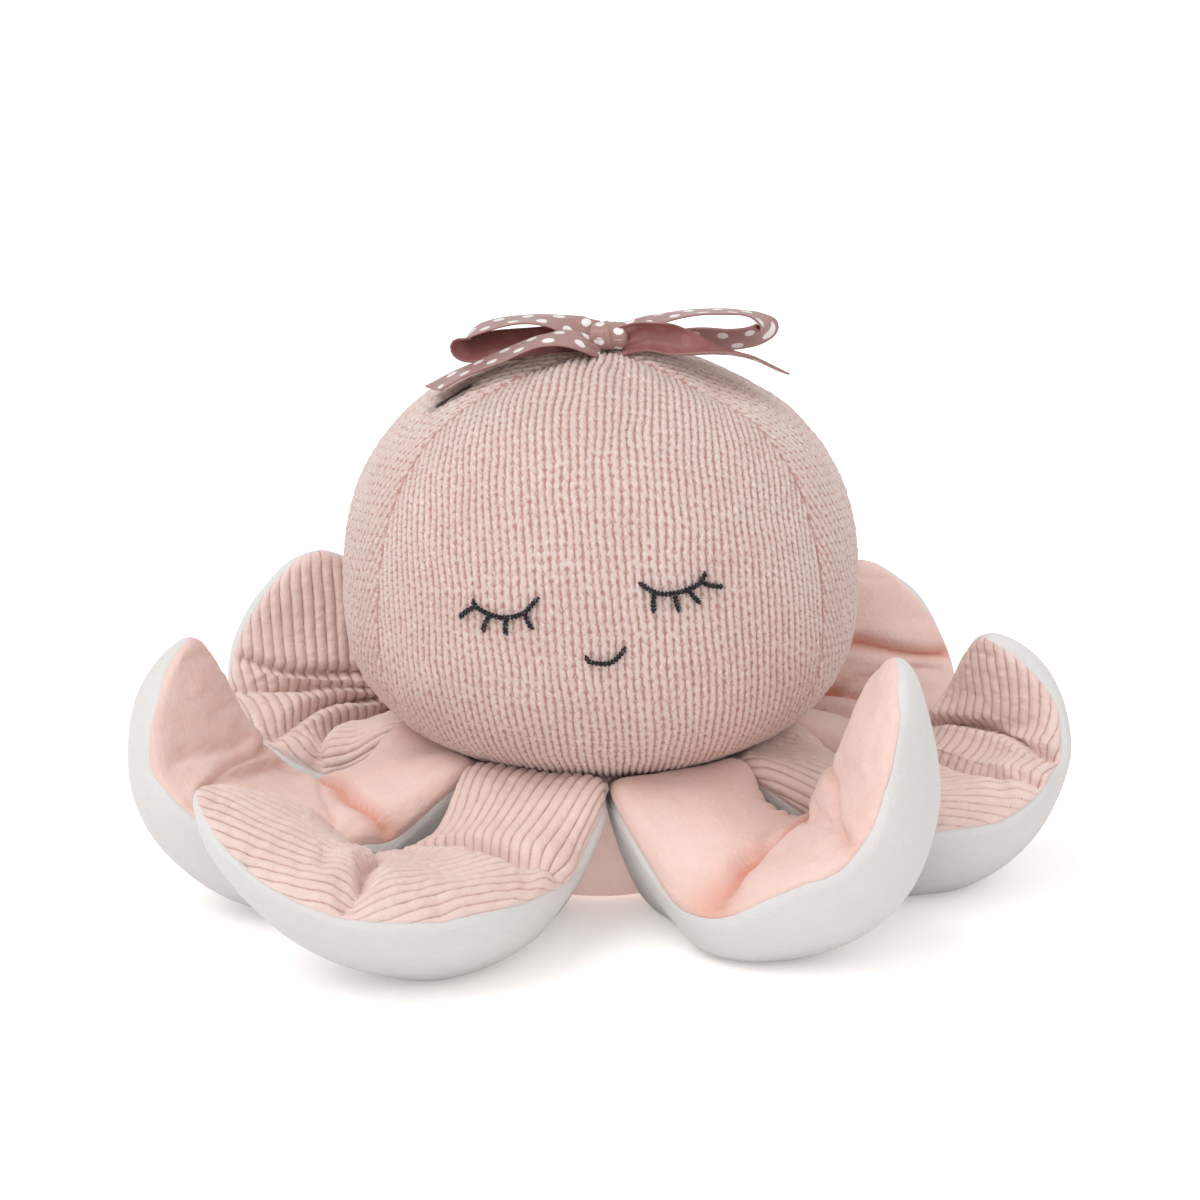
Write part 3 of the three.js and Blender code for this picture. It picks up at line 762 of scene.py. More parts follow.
STITCH_OVERLAP = 0.45  # share of a row by which each stitch runs under the next one
STITCH_FOOT = 0.09  # distance of a stitch's foot from the middle of its wale, as a share of the wale
STITCH_SPREAD = 0.28  # how far out its top lies beyond that
STITCH_BEND = 0.75  # less than 1 spreads it sooner from its foot
STITCH_HALF = 0.18  # half the width of its yarn
STITCH_WIDENING = 0.3  # less than 1 makes it wide soon after its ends
STITCH_RISING = 0.6  # less than 1 makes it high soon after its ends
STITCH_STRAY = 0.05  # how far a stitch lies out of its line
STITCH_UNEVEN = 0.3  # how much lower than the highest the lowest stitch is
STITCH_SUNK = 0.7  # share of a stitch's height that lies under the head's surface


def stitch_relief(wales, rows):
    """Height from 0 to 1 of plain knitting, at places counted in wales across and rows down"""
    wale = np.floor(wales)
    across = wales - wale - 0.5
    side = np.sign(across)
    best = np.zeros(np.broadcast(wales, rows).shape)
    for step in (-1, 0, 1):
        row = np.floor(rows) + step
        chance = scatter(wale, row, side * 3 + 5)
        rise = (row + 1 + STITCH_OVERLAP - rows) / (1 + 2 * STITCH_OVERLAP)
        risen = np.clip(rise, 0, 1)
        arch = np.sin(math.pi * risen)
        centre = STITCH_FOOT + STITCH_SPREAD * risen ** STITCH_BEND + STITCH_STRAY * (chance - 0.5)
        half = STITCH_HALF * arch ** STITCH_WIDENING
        off = (np.abs(across) - centre) / np.maximum(half, 1e-6)
        round_yarn = np.sqrt(np.clip(1 - off * off, 0, 1))
        height = round_yarn * arch ** STITCH_RISING * (1 - STITCH_UNEVEN * chance)
        best = np.maximum(best, np.where((rise > 0) & (rise < 1), height, 0))
    return best


LUMP, LUMP_SIZE = 0.45 * MM, 26 * MM  # height and size of the filled head's broad lumps
SMALL_LUMP, SMALL_LUMP_SIZE = 0.25 * MM, 13 * MM  # and of its small ones
GATHER, GATHER_COUNT = 0.5 * MM, 9  # height and count of the soft folds that run down from the top
GATHER_STRAY = 1.2  # how unevenly they are spaced, in radians of their wave
GATHER_START, GATHER_END = (4 * MM, 12 * MM), (20 * MM, 42 * MM)  # lengths over which they rise and fade
CREASE_TURN = math.radians(-74)  # where the short pucker lies under the left tail, with painted shade deep in its crease
CREASE_FROM, CREASE_FULL = 28.5 * MM, 4 * MM  # its start, and the length over which it gets deep
CREASE_TO, CREASE_FADE = 42 * MM, 5 * MM  # its end, and the length over which it gets shallow
CREASE_HALF = 1.3 * MM
CREASE_DEPTH = 0.8 * MM
HOLLOW_TURN = math.radians(66)  # where the head is a little hollow, right of the bow
HOLLOW_ALONG = 29 * MM
HOLLOW_REACH = 8 * MM
HOLLOW_DEPTH = 1.5 * MM
BOW_PULL = 2.1 * MM  # how far the bow's stitches pull the top of the head up
BOW_PULL_RADIUS = 22 * MM


def head_lumps(turn, along, radius):
    """Slow unevenness of the filled head, and the pull of the bow's stitches at its top"""
    x, y = radius * np.sin(turn), radius * np.cos(turn)
    lumps = LUMP * drift(x + 3, y + along, LUMP_SIZE, 1)
    lumps = lumps + SMALL_LUMP * drift(y, x + along, SMALL_LUMP_SIZE, 2)
    pull = BOW_PULL * np.exp(-(along / BOW_PULL_RADIUS) ** 2)
    reach = smoothstep(along, *GATHER_START) * (1 - smoothstep(along, *GATHER_END))
    gathers = GATHER * reach * np.cos(GATHER_COUNT * turn + GATHER_STRAY * np.sin(2 * turn))
    apart = np.hypot((turn - HOLLOW_TURN) * radius, along - HOLLOW_ALONG)
    hollow = HOLLOW_DEPTH * np.exp(-(apart / HOLLOW_REACH) ** 2)
    return lumps + pull + gathers - hollow


def head_crease(turn, along, radius):
    """1 in the middle of the short pucker and 0 away from it. It sets the pucker's depth and its painted
    shade.
    """
    crease = np.exp(-((turn - CREASE_TURN) * radius / CREASE_HALF) ** 2)
    crease = crease * smoothstep(along, CREASE_FROM, CREASE_FROM + CREASE_FULL)
    return crease * (1 - smoothstep(along, CREASE_TO - CREASE_FADE, CREASE_TO))


COVER_ROWS = 312  # of points, from the top to the opening
FRONT_COLUMNS, SIDE_COLUMNS = 304, 272  # of points, across a panel
COVER_STEP = 8  # how many points of the face there are to one of the lining, each way
POLE_GAP = 0.25 * MM  # from the middle of the top to where the panels start
SEAM_RISE = 0.7 * MM  # distance from a seam over which the stitches rise
WALES_ABOVE, WALES_BELOW = 1.0, 0.5  # power of the head's narrowing which the front wales follow
LEAST_NARROW = 0.02  # keeps them from meeting in one point at the top
WALE_STRAY, WALE_STRAY_SIZE = 0.12, 8 * MM  # share of its width by which a wale wanders, and over what length
ROW_STRAY, ROW_STRAY_SIZE = 0.2, 6 * MM  # and a row


def cover_stitches(head, shape, turn, along, radius, is_front):
    """Where points of the cover lie in the knitting, in wales across and rows down"""
    if is_front:
        upper = along < shape.waist_along
        narrowing = np.maximum(radius / shape.radius, LEAST_NARROW)
        gathered = narrowing ** np.where(upper, WALES_ABOVE, WALES_BELOW)
        leant = turn * shape.radius - math.tan(head.lean) * (along - shape.waist_along)
        across = leant * gathered / head.wale
        down = np.where(upper, shape.row_along(turn, along), along) / head.row
    else:
        away = (np.abs(turn) - head.panel_turn) * radius
        across = (away * math.cos(head.slant) - along * math.sin(head.slant)) / head.wale
        down = (away * math.sin(head.slant) + along * math.cos(head.slant)) / head.row
    across = across + WALE_STRAY * drift(turn * radius, along, WALE_STRAY_SIZE, 81)
    down = down + ROW_STRAY * drift(turn * radius, along, ROW_STRAY_SIZE, 82)
    return across, down


def build_cover(context):
    """The knitted cover: a front panel of upright stitches and two side panels of slanted ones"""
    head = context.scene.octopus_head
    shape = HeadShape(head)
    panels = [
        ("head_cover_front", -head.panel_turn, head.panel_turn, FRONT_COLUMNS),
        ("head_cover_right", head.panel_turn, math.pi, SIDE_COLUMNS),
        ("head_cover_left", -math.pi, -head.panel_turn, SIDE_COLUMNS),
    ]
    for name, first, last, columns in panels:
        turn, along = np.meshgrid(
            np.linspace(first, last, columns + 1), np.linspace(POLE_GAP, shape.length, COVER_ROWS + 1)
        )
        face, facing, radius = shape.at(turn, along)
        across, down = cover_stitches(head, shape, turn, along, radius, name == "head_cover_front")
        from_seam = np.minimum(np.abs(turn - first), np.abs(turn - last)) * radius
        # relief is the stitch height, from which the knit paints shade in its hollows
        relief = stitch_relief(across, down) * smoothstep(from_seam, 0, SEAM_RISE)
        crease = head_crease(turn, along, radius)
        lift = head_lumps(turn, along, radius) + head.relief * (relief - STITCH_SUNK) - CREASE_DEPTH * crease
        # The third cloth coordinate carries the pucker, where the knit paints shade
        cloth = np.stack([across * head.wale, down * head.row, -crease], axis=-1)
        some = slice(None, None, COVER_STEP)
        inner, outward = shape.at(turn[some, some], along[some, some])[:2]
        lining = inner - outward * (head.thickness + STITCH_SUNK * head.relief)
        points, quads, triangles = lined_sheet(face + facing * lift[..., None], lining, COVER_STEP)
        piece = make_piece(
            name, points, quads, triangles, finish_of("pink_knit"), cloth.reshape(-1, 3), relief.ravel()
        )
        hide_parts("head_cover")
        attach(piece, "toy")


# Legs

HINGE_RADIUS = 36 * MM  # from the middle of the toy to where a leg flexes
FIRST_LEG_AT = math.radians(-110)
LEG_TURN = math.radians(45)

# From the front left and on against the clock seen from above. Reach is a leg's length as a share of the
# usual one, and angles are in degrees. The heading turns by sweep over sweep_span, the leg rises by curl over
# curl_span, and it rolls to one side by roll. Both spans are shares of its length.
# Each crease is [share of the length, slope across the leg, depth in mm, half width in mm].
# Each bent edge is [share of the length, reach along as a share, edge, rise in mm].
# Each gather is [share of the length, edge, length of a pleat in mm].
# The edge is -1 for the right one seen from the root and 1 for the left one.
LEGS = [
    dict(name="front_left", cloth="pink_corduroy", reach=1.03, roll=-14,
         sweep=-70, sweep_span=(0.08, 0.85), curl=46, curl_span=(0.34, 1),
         creases=[(0.36, -0.15, 4.6, 2.0), (0.61, 0.43, 5.4, 2.8)],
         edges=[(0.52, 0.2, -1, -8)], gathers=[(0.52, -1, 5.5)]),
    dict(name="front_right", cloth="peach_velour", reach=0.99, roll=6,
         sweep=66, sweep_span=(0.04, 0.66), curl=88, curl_span=(0.3, 0.85),
         creases=[(0.42, 0.32, 4.4, 4.0), (0.68, 0.2, 1.6, 3.0)],
         edges=[(0.33, 0.13, -1, -7)], gathers=[(0.3, 1, 4.5)]),
    dict(name="right_front", cloth="pink_corduroy", reach=1.04, roll=6,
         sweep=62, sweep_span=(0.08, 0.66), curl=130, curl_span=(0.44, 1),
         creases=[(0.54, -0.2, 4.4, 2.0), (0.745, 0.0, 5.0, 2.2)],
         edges=[(0.66, 0.14, -1, 6)], gathers=[(0.52, 1, 5)]),
    dict(name="right_back", cloth="peach_velour", reach=0.85, roll=4,
         sweep=56, sweep_span=(0.1, 0.74), curl=100, curl_span=(0.24, 0.98),
         creases=[(0.57, 0.15, 3.4, 2.8), (0.77, 0.0, 4.6, 2.2)],
         edges=[], gathers=[]),
    dict(name="back_right", cloth="pink_corduroy", reach=0.98, roll=0,
         sweep=8, sweep_span=(0.2, 0.8), curl=100, curl_span=(0.3, 0.95),
         creases=[(0.55, 0.15, 4.0, 2.0)],
         edges=[], gathers=[(0.5, 1, 5)]),
    dict(name="back_left", cloth="peach_velour", reach=0.98, roll=0,
         sweep=-8, sweep_span=(0.2, 0.8), curl=100, curl_span=(0.3, 0.95),
         creases=[(0.55, -0.15, 4.0, 3.0)],
         edges=[], gathers=[(0.5, -1, 5)]),
    dict(name="left_back", cloth="pink_corduroy", reach=0.88, roll=0,
         sweep=-54, sweep_span=(0.12, 0.74), curl=104, curl_span=(0.22, 0.9),
         creases=[(0.44, -0.36, 4.4, 2.0), (0.54, -0.27, 4.8, 2.0), (0.615, 0.12, 3.0, 1.6),
                  (0.68, 0.29, 4.4, 1.8)],
         edges=[], gathers=[]),
    dict(name="left_front", cloth="peach_velour", reach=1, roll=-5,
         sweep=-47, sweep_span=(0.12, 0.82), curl=107, curl_span=(0.34, 1),
         creases=[(0.34, -0.22, 4.0, 2.0), (0.66, 0.0, 1.4, 1.8)],
         edges=[], gathers=[]),
]

CONTACT_RADIUS = 40 * MM  # where the top of a leg comes away from the head
PUFF_END = 44 * MM  # length at which it no longer bulges up towards the head
EDGE_LIFT = 12 * MM  # how far the seam stands higher where the legs press on each other
EDGE_LIFT_END = 34 * MM
FLOOR_SOFTNESS = 1.0 * MM  # how gradually the underside flattens on the floor
FLOOR_DROP = 0.26  # share of that by which it is then lowered
ROOT_ROW = 2 * MM  # from the root to the first row of a panel
TIP_END = 0.001 * MM  # from the last row to the very tip
TIP_CROWDING = 1.3  # more than 1 brings the rows closer together towards the tip
TIP_POWERS = (2.3, 0.62)  # how late the tip narrows, and how round it ends
TIP_FLATTENING = 0.8  # the power of that narrowing which its padding follows
CUT_CURVE = 0.6  # share of a leg's sweep that its panels were cut with
ROOT_WIDTH = 0.96  # width at the root from which a leg widens, as a share of its sector of the ring
SECTOR_ENDS = (14 * MM, 30 * MM)  # lengths over which a leg that fills its sector takes that width
SECTION_ENDS = (18 * MM, 46 * MM)  # lengths over which its section gets its outer form
TOP_FORM = (0.55, 0.95)  # form of a section at the root and farther out: less than 1 is boxy, more is peaked
UNDERSIDE_FORM = (1.5, 1.05)
SEAM_RIPPLE = 0.7 * MM  # how far the seam waves up and down
SEAM_RIPPLE_SIZE = 7 * MM
SEAM_RIPPLE_POWER = 8  # more keeps the waves closer to the seam
SEAM_RIPPLE_ENDS = (24 * MM, 40 * MM)  # lengths over which the waves start
SECTION = np.linspace(0, math.pi, 61)  # angles round a section, from one seam to the other


class LegShape:
    """One leg: a line that sweeps and curls, with padded sections along it"""

    def __init__(self, scene, leg, number):
        legs, head = scene.octopus_legs, scene.octopus_head
        self.legs, self.leg, self.number = legs, leg, number
        self.head = HeadShape(head)
        self.length = leg["reach"] * legs.length
        self.root = legs.root_thickness / 2
        self.start = HINGE_RADIUS - self.root
        self.seam = legs.depth - legs.floor_flat
        self.heading = FIRST_LEG_AT + LEG_TURN * number
        self.steps = np.arange(math.ceil(self.length / MM) + 1) * MM
        portion = self.steps / self.length
        turned = self.heading + math.radians(leg["sweep"]) * smoothstep(portion, *leg["sweep_span"])
        raised = math.radians(leg["curl"]) * smoothstep(portion, *leg["curl_span"])
        rolled = math.radians(leg["roll"]) * smoothstep(portion, leg["sweep_span"][0], 1)
        forward = np.stack(
            [np.cos(raised) * np.cos(turned), np.cos(raised) * np.sin(turned), np.sin(raised)], axis=1
        )
        level = np.stack([-np.sin(turned), np.cos(turned), np.zeros_like(turned)], axis=1)
        rolled = rolled[:, None]
        self.sides = level * np.cos(rolled) + np.cross(forward, level) * np.sin(rolled)
        self.ups = np.cross(forward, self.sides)
        self.places = np.cumsum(forward, axis=0) * MM - forward[0] * MM
        self.places += np.array(
            [self.start * math.cos(self.heading), self.start * math.sin(self.heading), self.seam]
        )
        cut = lerp(self.heading, turned, CUT_CURVE)
        self.cut_ways = np.stack([np.cos(cut), np.sin(cut)], axis=1)
        self.cut_places = np.cumsum(self.cut_ways, axis=0) * MM
        self.plan_ways = np.stack([np.cos(turned), np.sin(turned)], axis=1)
        self.plan_places = np.cumsum(self.plan_ways, axis=0) * MM

    def rows(self, count):
        """Lengths from the root for the rows of a panel, closer together at the tip"""
        left = 1 - np.linspace(0, 1, count + 1)
        return self.length - TIP_END - (self.length - TIP_END - ROOT_ROW) * left ** TIP_CROWDING

    def along(self, values, at):
        """Values of the 1 mm steps at other lengths"""
        return at_lengths(values, self.steps, at)

    def tip(self, at):
        """1 along most of a leg, falling to 0 where it ends"""
        narrowing = np.clip((at - self.legs.taper_from) / (self.length - self.legs.taper_from), 0, 1)
        late, ends_round = TIP_POWERS
        return (1 - narrowing ** late) ** ends_round

    def half_width(self, at):
        sector = (self.start + at) * math.tan(LEG_TURN / 2)
        root = self.start * math.tan(LEG_TURN / 2) * ROOT_WIDTH
        usual = lerp(root, self.legs.width / 2, smoothstep(at, 0, self.legs.wide_at))
        return lerp(sector, usual, smoothstep(at, *SECTOR_ENDS)) * self.tip(at)

    def edge_lift(self, at):
        return EDGE_LIFT * (1 - smoothstep(at, CONTACT_RADIUS - self.start, EDGE_LIFT_END))

    def top_height(self, at):
        """From the seam to the top along the middle"""
        usual = lerp(self.root, self.legs.bulge, smoothstep(at, self.root, self.legs.wide_at))
        usual = usual * self.tip(at) ** TIP_FLATTENING
        contact = CONTACT_RADIUS - self.start
        touching = self.head.underside(self.start + np.minimum(at, contact)) - self.seam
        return lerp(touching, usual, smoothstep(at, contact, PUFF_END)) - self.edge_lift(at)

    def underside_depth(self, at):
        thinner = 1 - self.legs.tip_thinning * smoothstep(at, self.legs.taper_from, self.length)
        return self.legs.depth * thinner * self.tip(at) ** TIP_FLATTENING + self.edge_lift(at)

    def surface(self, at, side):
        """Points of the top (side 1) or the underside (side -1), each row from one seam to the other"""
        place, across, up = (self.along(v, at)[:, None] for v in (self.places, self.sides, self.ups))
        across, up = unit(across), unit(up)
        half = self.half_width(at)[:, None]
        form = lerp(*(TOP_FORM if side > 0 else UNDERSIDE_FORM), smoothstep(at, *SECTION_ENDS))[:, None]
        cos, sin = np.cos(SECTION)[None], np.sin(SECTION)[None]
        portion = -np.sign(cos) * np.abs(cos) ** form
        offset = half * portion
        height = (self.top_height(at) if side > 0 else self.underside_depth(at))[:, None]
        base = self.edge_lift(at)[:, None] + self.legs.cup * (offset / (self.legs.width / 2)) ** 2
        edge = np.abs(cos) ** SEAM_RIPPLE_POWER * smoothstep(at, *SEAM_RIPPLE_ENDS)[:, None]
        ripple = drift(at[:, None] + 0 * cos, np.sign(cos) + 0 * half, SEAM_RIPPLE_SIZE, self.number)
        base = base + SEAM_RIPPLE * edge * ripple
        for mark, reach, hand, rise in self.leg["edges"]:
            near = np.exp(-((at / self.length - mark) / reach) ** 2)[:, None]
            base = base + rise * MM * near * smoothstep(hand * portion, 0, 1)
        raised = base + side * height * np.abs(sin) ** form
        points = place + across * offset[..., None] + up * raised[..., None]
        z = points[..., 2]
        softened = 0.5 * (z + np.sqrt(z * z + FLOOR_SOFTNESS ** 2))
        points[..., 2] = softened - FLOOR_DROP * FLOOR_SOFTNESS
        return points

    def middle_line(self, places, ways, at):
        """Points of a flat middle line, and the direction to its left there"""
        way = unit(self.along(ways, at))[:, None]
        return self.along(places, at)[:, None], np.stack([-way[..., 1], way[..., 0]], axis=-1)

    def flat_cut(self, at, across):
        """Where points lie on the top panel as it was cut: longer and straighter than the leg"""
        place, sideways = self.middle_line(self.cut_places, self.cut_ways, at)
        spread = place * self.legs.slack_along + sideways * across[..., None] * self.legs.slack_across
        return np.concatenate([spread, 0 * spread[..., :1]], axis=-1)

    def ribs(self, at, across, marks):
        """Distance of each point across the ribs, which run straight from one crease to the next and turn at
        each. The marks are the lengths at which the creases cross each column."""
        place, sideways = self.middle_line(self.plan_places, self.plan_ways, at)
        flat = place + sideways * across[..., None]
        bounds = [0.0, *marks, self.length]
        result = np.zeros(across.shape)
        for start, end in zip(bounds[:-1], bounds[1:]):
            middle = np.array([(np.mean(start) + np.mean(end)) / 2])
            origin = self.along(self.plan_places, middle)[0]
            way = unit(self.along(self.plan_ways, middle))[0]
            line = (flat - origin) @ np.array([-way[1], way[0]])
            inside = (at[:, None] >= start) & (at[:, None] <= end)
            result = np.where(inside, line, result)
        return result


# Each top panel is cut larger than its leg and sewn down all round, and the fibre under it presses it up, so
# it settles into puffs and folds.
GROWN = 20  # Blender's cloth is steadier at this many times the real size
SETTLE_FRAMES = 45
COARSE_ROW = 2.3 * MM
COARSE_COLUMNS = 22
SEWN_ROOT = 16 * MM  # the panel is held this far from its root, where the head rests on it
MOST_SETTLED = 4.5 * MM


def loose_panel(shape):
    """A leg's top panel as a coarse cloth that is sewn down all round, and its points before it settles"""
    at = shape.rows(int(shape.length / COARSE_ROW))
    start = even_columns(shape.surface(at, 1), COARSE_COLUMNS + 1)
    numbers = np.arange(start[..., 0].size).reshape(start.shape[:2])
    points, quads, triangles = start.reshape(-1, 3) * GROWN, grid_quads(numbers), np.zeros((0, 3), int)
    piece = make_piece("loose panel", points, quads, triangles, finish_of("white_velour"))
    piece.shape_key_add(name="Sewn on")
    cut = piece.shape_key_add(name="As cut")
    cut.data.foreach_set("co", (shape.flat_cut(at, from_middle(start)) * GROWN).astype(np.float32).ravel())
    held = np.zeros(numbers.shape, bool)
    held[:, [0, -1]] = held[-2:] = held[at < SEWN_ROOT] = True
    piece.vertex_groups.new(name="Sewn").add(numbers[held].tolist(), 1.0, "REPLACE")
    cloth = piece.modifiers.new("Settle", "CLOTH")
    cloth.point_cache.frame_start, cloth.point_cache.frame_end = 1, SETTLE_FRAMES
    settings = cloth.settings
    settings.vertex_group_mass = "Sewn"
    settings.rest_shape_key = cut
    settings.quality = 6
    settings.mass = 0.2
    settings.tension_stiffness = settings.compression_stiffness = 12
    settings.shear_stiffness = 4
    settings.bending_stiffness = 0.6
    settings.air_damping = 6
    settings.use_pressure = True
    settings.uniform_pressure_force = 1.2
    settings.effector_weights.gravity = 0
    cloth.collision_settings.use_collision = False
    return piece, start


def settled_moves(context, shapes):
    """How far each top panel's points move as it settles, as a coarse grid for each leg"""
    loose = [loose_panel(shape) for shape in shapes]
    for number in range(1, SETTLE_FRAMES + 1):
        context.scene.frame_set(number)
    graph = context.evaluated_depsgraph_get()
    moves = []
    for piece, start in loose:
        mesh = piece.evaluated_get(graph).to_mesh()
        found = np.empty(len(mesh.vertices) * 3, np.float32)
        mesh.vertices.foreach_get("co", found)
        move = found.reshape(start.shape) / GROWN - start
        far = np.maximum(np.linalg.norm(move, axis=2, keepdims=True), 1e-9)
        moves.append(move * MOST_SETTLED * np.tanh(far / MOST_SETTLED) / far)
    for piece, start in loose:
        mesh = piece.data
        bpy.data.objects.remove(piece)
        bpy.data.meshes.remove(mesh)
    context.scene.frame_set(1)
    return moves


FOLD_STEP = 4  # how many points away a fold is measured from
FOLD_DEEP = 1.2 * MM  # how far a point lies below those around it where a fold gets the full painted shade
FOLD_START = 0.15  # share of that at which the painted shade starts


def folds(grid):
    """How far each point lies in a fold, from 0 to 1, which the velour paints as shade"""
    padded = np.pad(grid, ((FOLD_STEP, FOLD_STEP), (FOLD_STEP, FOLD_STEP), (0, 0)), mode="edge")
    size = 2 * FOLD_STEP
    around = padded[:-size, FOLD_STEP:-FOLD_STEP] + padded[size:, FOLD_STEP:-FOLD_STEP]
    around = around + padded[FOLD_STEP:-FOLD_STEP, :-size] + padded[FOLD_STEP:-FOLD_STEP, size:]
    below = np.sum((around / 4 - grid) * normals(grid), axis=-1)
    return smoothstep(below, FOLD_START * FOLD_DEEP, FOLD_DEEP)


CREASE_WAVE, CREASE_WAVE_SIZE = 1.2 * MM, 5.5 * MM  # how a leg's crease wanders
VALLEY_POWER = 1.4  # less than 2 gives a crease a sharper bottom
LIP, LIP_HALF = 0.35, 7 * MM  # height, as a share of the depth, and reach of the cloth pushed up beside it
SIDE_FADE, SIDE_FADE_ENDS = 0.35, (8 * MM, 24 * MM)  # how much shallower it gets on the way to the seams
FOLD_SHADE_PER_MM = 0.18  # how much painted shade, in the velour's deep colour, a crease gets for each mm of its depth
GATHER_REACH = (2 * MM, 13 * MM)  # distances from the seam at which a gather's pleats start to fade and end
GATHER_DEPTH = 1.3 * MM
GATHER_SPAN = 1.6  # how far a gather reaches to each side of its middle, in pleats


def crease_relief(shape, at, across):
    """How deep each point lies in a crease or pleat, where the creases cross each row, and how much painted
    shade, in the velour's deep colour, they get"""
    depth = np.zeros(across.shape)
    shown = np.zeros(across.shape)
    marks = []
    for number, (mark, slope, deep, wide) in enumerate(shape.leg["creases"]):
        line = mark * shape.length + slope * across + CREASE_WAVE * np.sin(across / CREASE_WAVE_SIZE + number)
        apart = at[:, None] - line
        valley = np.exp(-np.abs(apart / (wide * MM)) ** VALLEY_POWER)
        lips = np.exp(-(apart / LIP_HALF) ** 2)
        fade = 1 - SIDE_FADE * smoothstep(np.abs(across), *SIDE_FADE_ENDS)
        depth += deep * MM * fade * (valley - LIP * lips)
        shown = np.maximum(shown, FOLD_SHADE_PER_MM * deep * np.exp(-(apart / (wide * MM)) ** 2))
        marks.append(line)
    for mark, hand, pleat in shape.leg["gathers"]:
        gone = (at[:, None] - mark * shape.length) / (pleat * MM)
        inward = across[:, -1:] - hand * across
        near = np.exp(-(gone / GATHER_SPAN) ** 2) * (1 - smoothstep(inward, *GATHER_REACH))
        depth += GATHER_DEPTH * near * (0.5 - np.abs(np.sin(math.pi * gone))) * 2
    return depth, marks, shown


def deepest(depth, reach):
    """The greatest depth within reach of each point, so that a coarse lining stays under every crease"""
    padded = np.pad(depth, reach, mode="edge")
    windows = np.lib.stride_tricks.sliding_window_view(padded, (2 * reach + 1, 2 * reach + 1))
    return windows.max(axis=(2, 3))


SEAM_HALF = 1.3 * MM  # how far from the seam it draws the cloth in
SEAM_DEPTH = 0.7 * MM  # and by how much
CREASE_FROM_SEAM = 3 * MM  # distance from the seam over which a crease starts


def from_seams(across):
    """The distance of each point from the nearer seam"""
    return across[:, -1:] - np.abs(across)


def seam_pinch(across):
    """1 on the seam and 0 a little way in from it"""
    return np.exp(-(from_seams(across) / SEAM_HALF) ** 2)


LINING_STEP = 4  # how many points of a panel's face there are to one of its lining


def bend_with_leg(piece):
    """Bake the piece's placement into its points"""
    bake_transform(piece)


def make_panel(name, face, lining, at, across, relief, cloth):
    """A panel of a leg from the points of its face and its lining"""
    flat = np.stack([across, at[:, None] + 0 * across, 0 * across], axis=-1)
    points, quads, triangles = lined_sheet(face, lining, LINING_STEP)
    piece = make_piece(
        name + "_cloth", points, quads, triangles, finish_of(cloth), flat.reshape(-1, 3), relief.ravel()
    )
    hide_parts(name)
    bend_with_leg(piece)


CORDUROY_COLUMNS, CORDUROY_ROW = 224, 0.45 * MM  # columns of points of a top panel, and from row to row
VELOUR_COLUMNS, VELOUR_ROW = 104, 0.6 * MM
UNDERSIDE_COLUMNS = 96
TIP_FADE = 5 * MM  # over this length the cloth of a tip comes to rest on the tip itself
PUFF, PUFF_SIZE = 0.5 * MM, 9 * MM  # height and size of the slow bumps of a top panel
CRUMPLE, CRUMPLE_SIZE = 0.12 * MM, 3 * MM  # and of velour's small ones
RIB_STRAY, RIB_STRAY_SIZE = 0.12, 11 * MM  # share of its width by which a rib wanders, and over what length
RIB_ROUND = 0.55  # less than 1 gives wide ribs and narrow valleys
RIB_EVEN, RIB_UNEVEN = 0.82, 0.18  # a rib's usual height, and how much more or less it is in places
RIB_UNEVEN_SIZE = 1.4 * MM
RIB_APART = 7  # mm in the noise between neighbouring ribs, which keeps them unlike
RIB_SUNK = 0.75  # share of a rib's height that lies under the panel's surface
PATCHY, PATCHY_SPREAD, PATCHY_SIZE = 0.75, 0.45, 10 * MM  # how a crease's painted shade comes and goes
DENT, DENT_SIZE = 0.7 * MM, 19 * MM  # depth and size of an underside's dents
SMALL_DENT, SMALL_DENT_SIZE = 0.25 * MM, 8 * MM


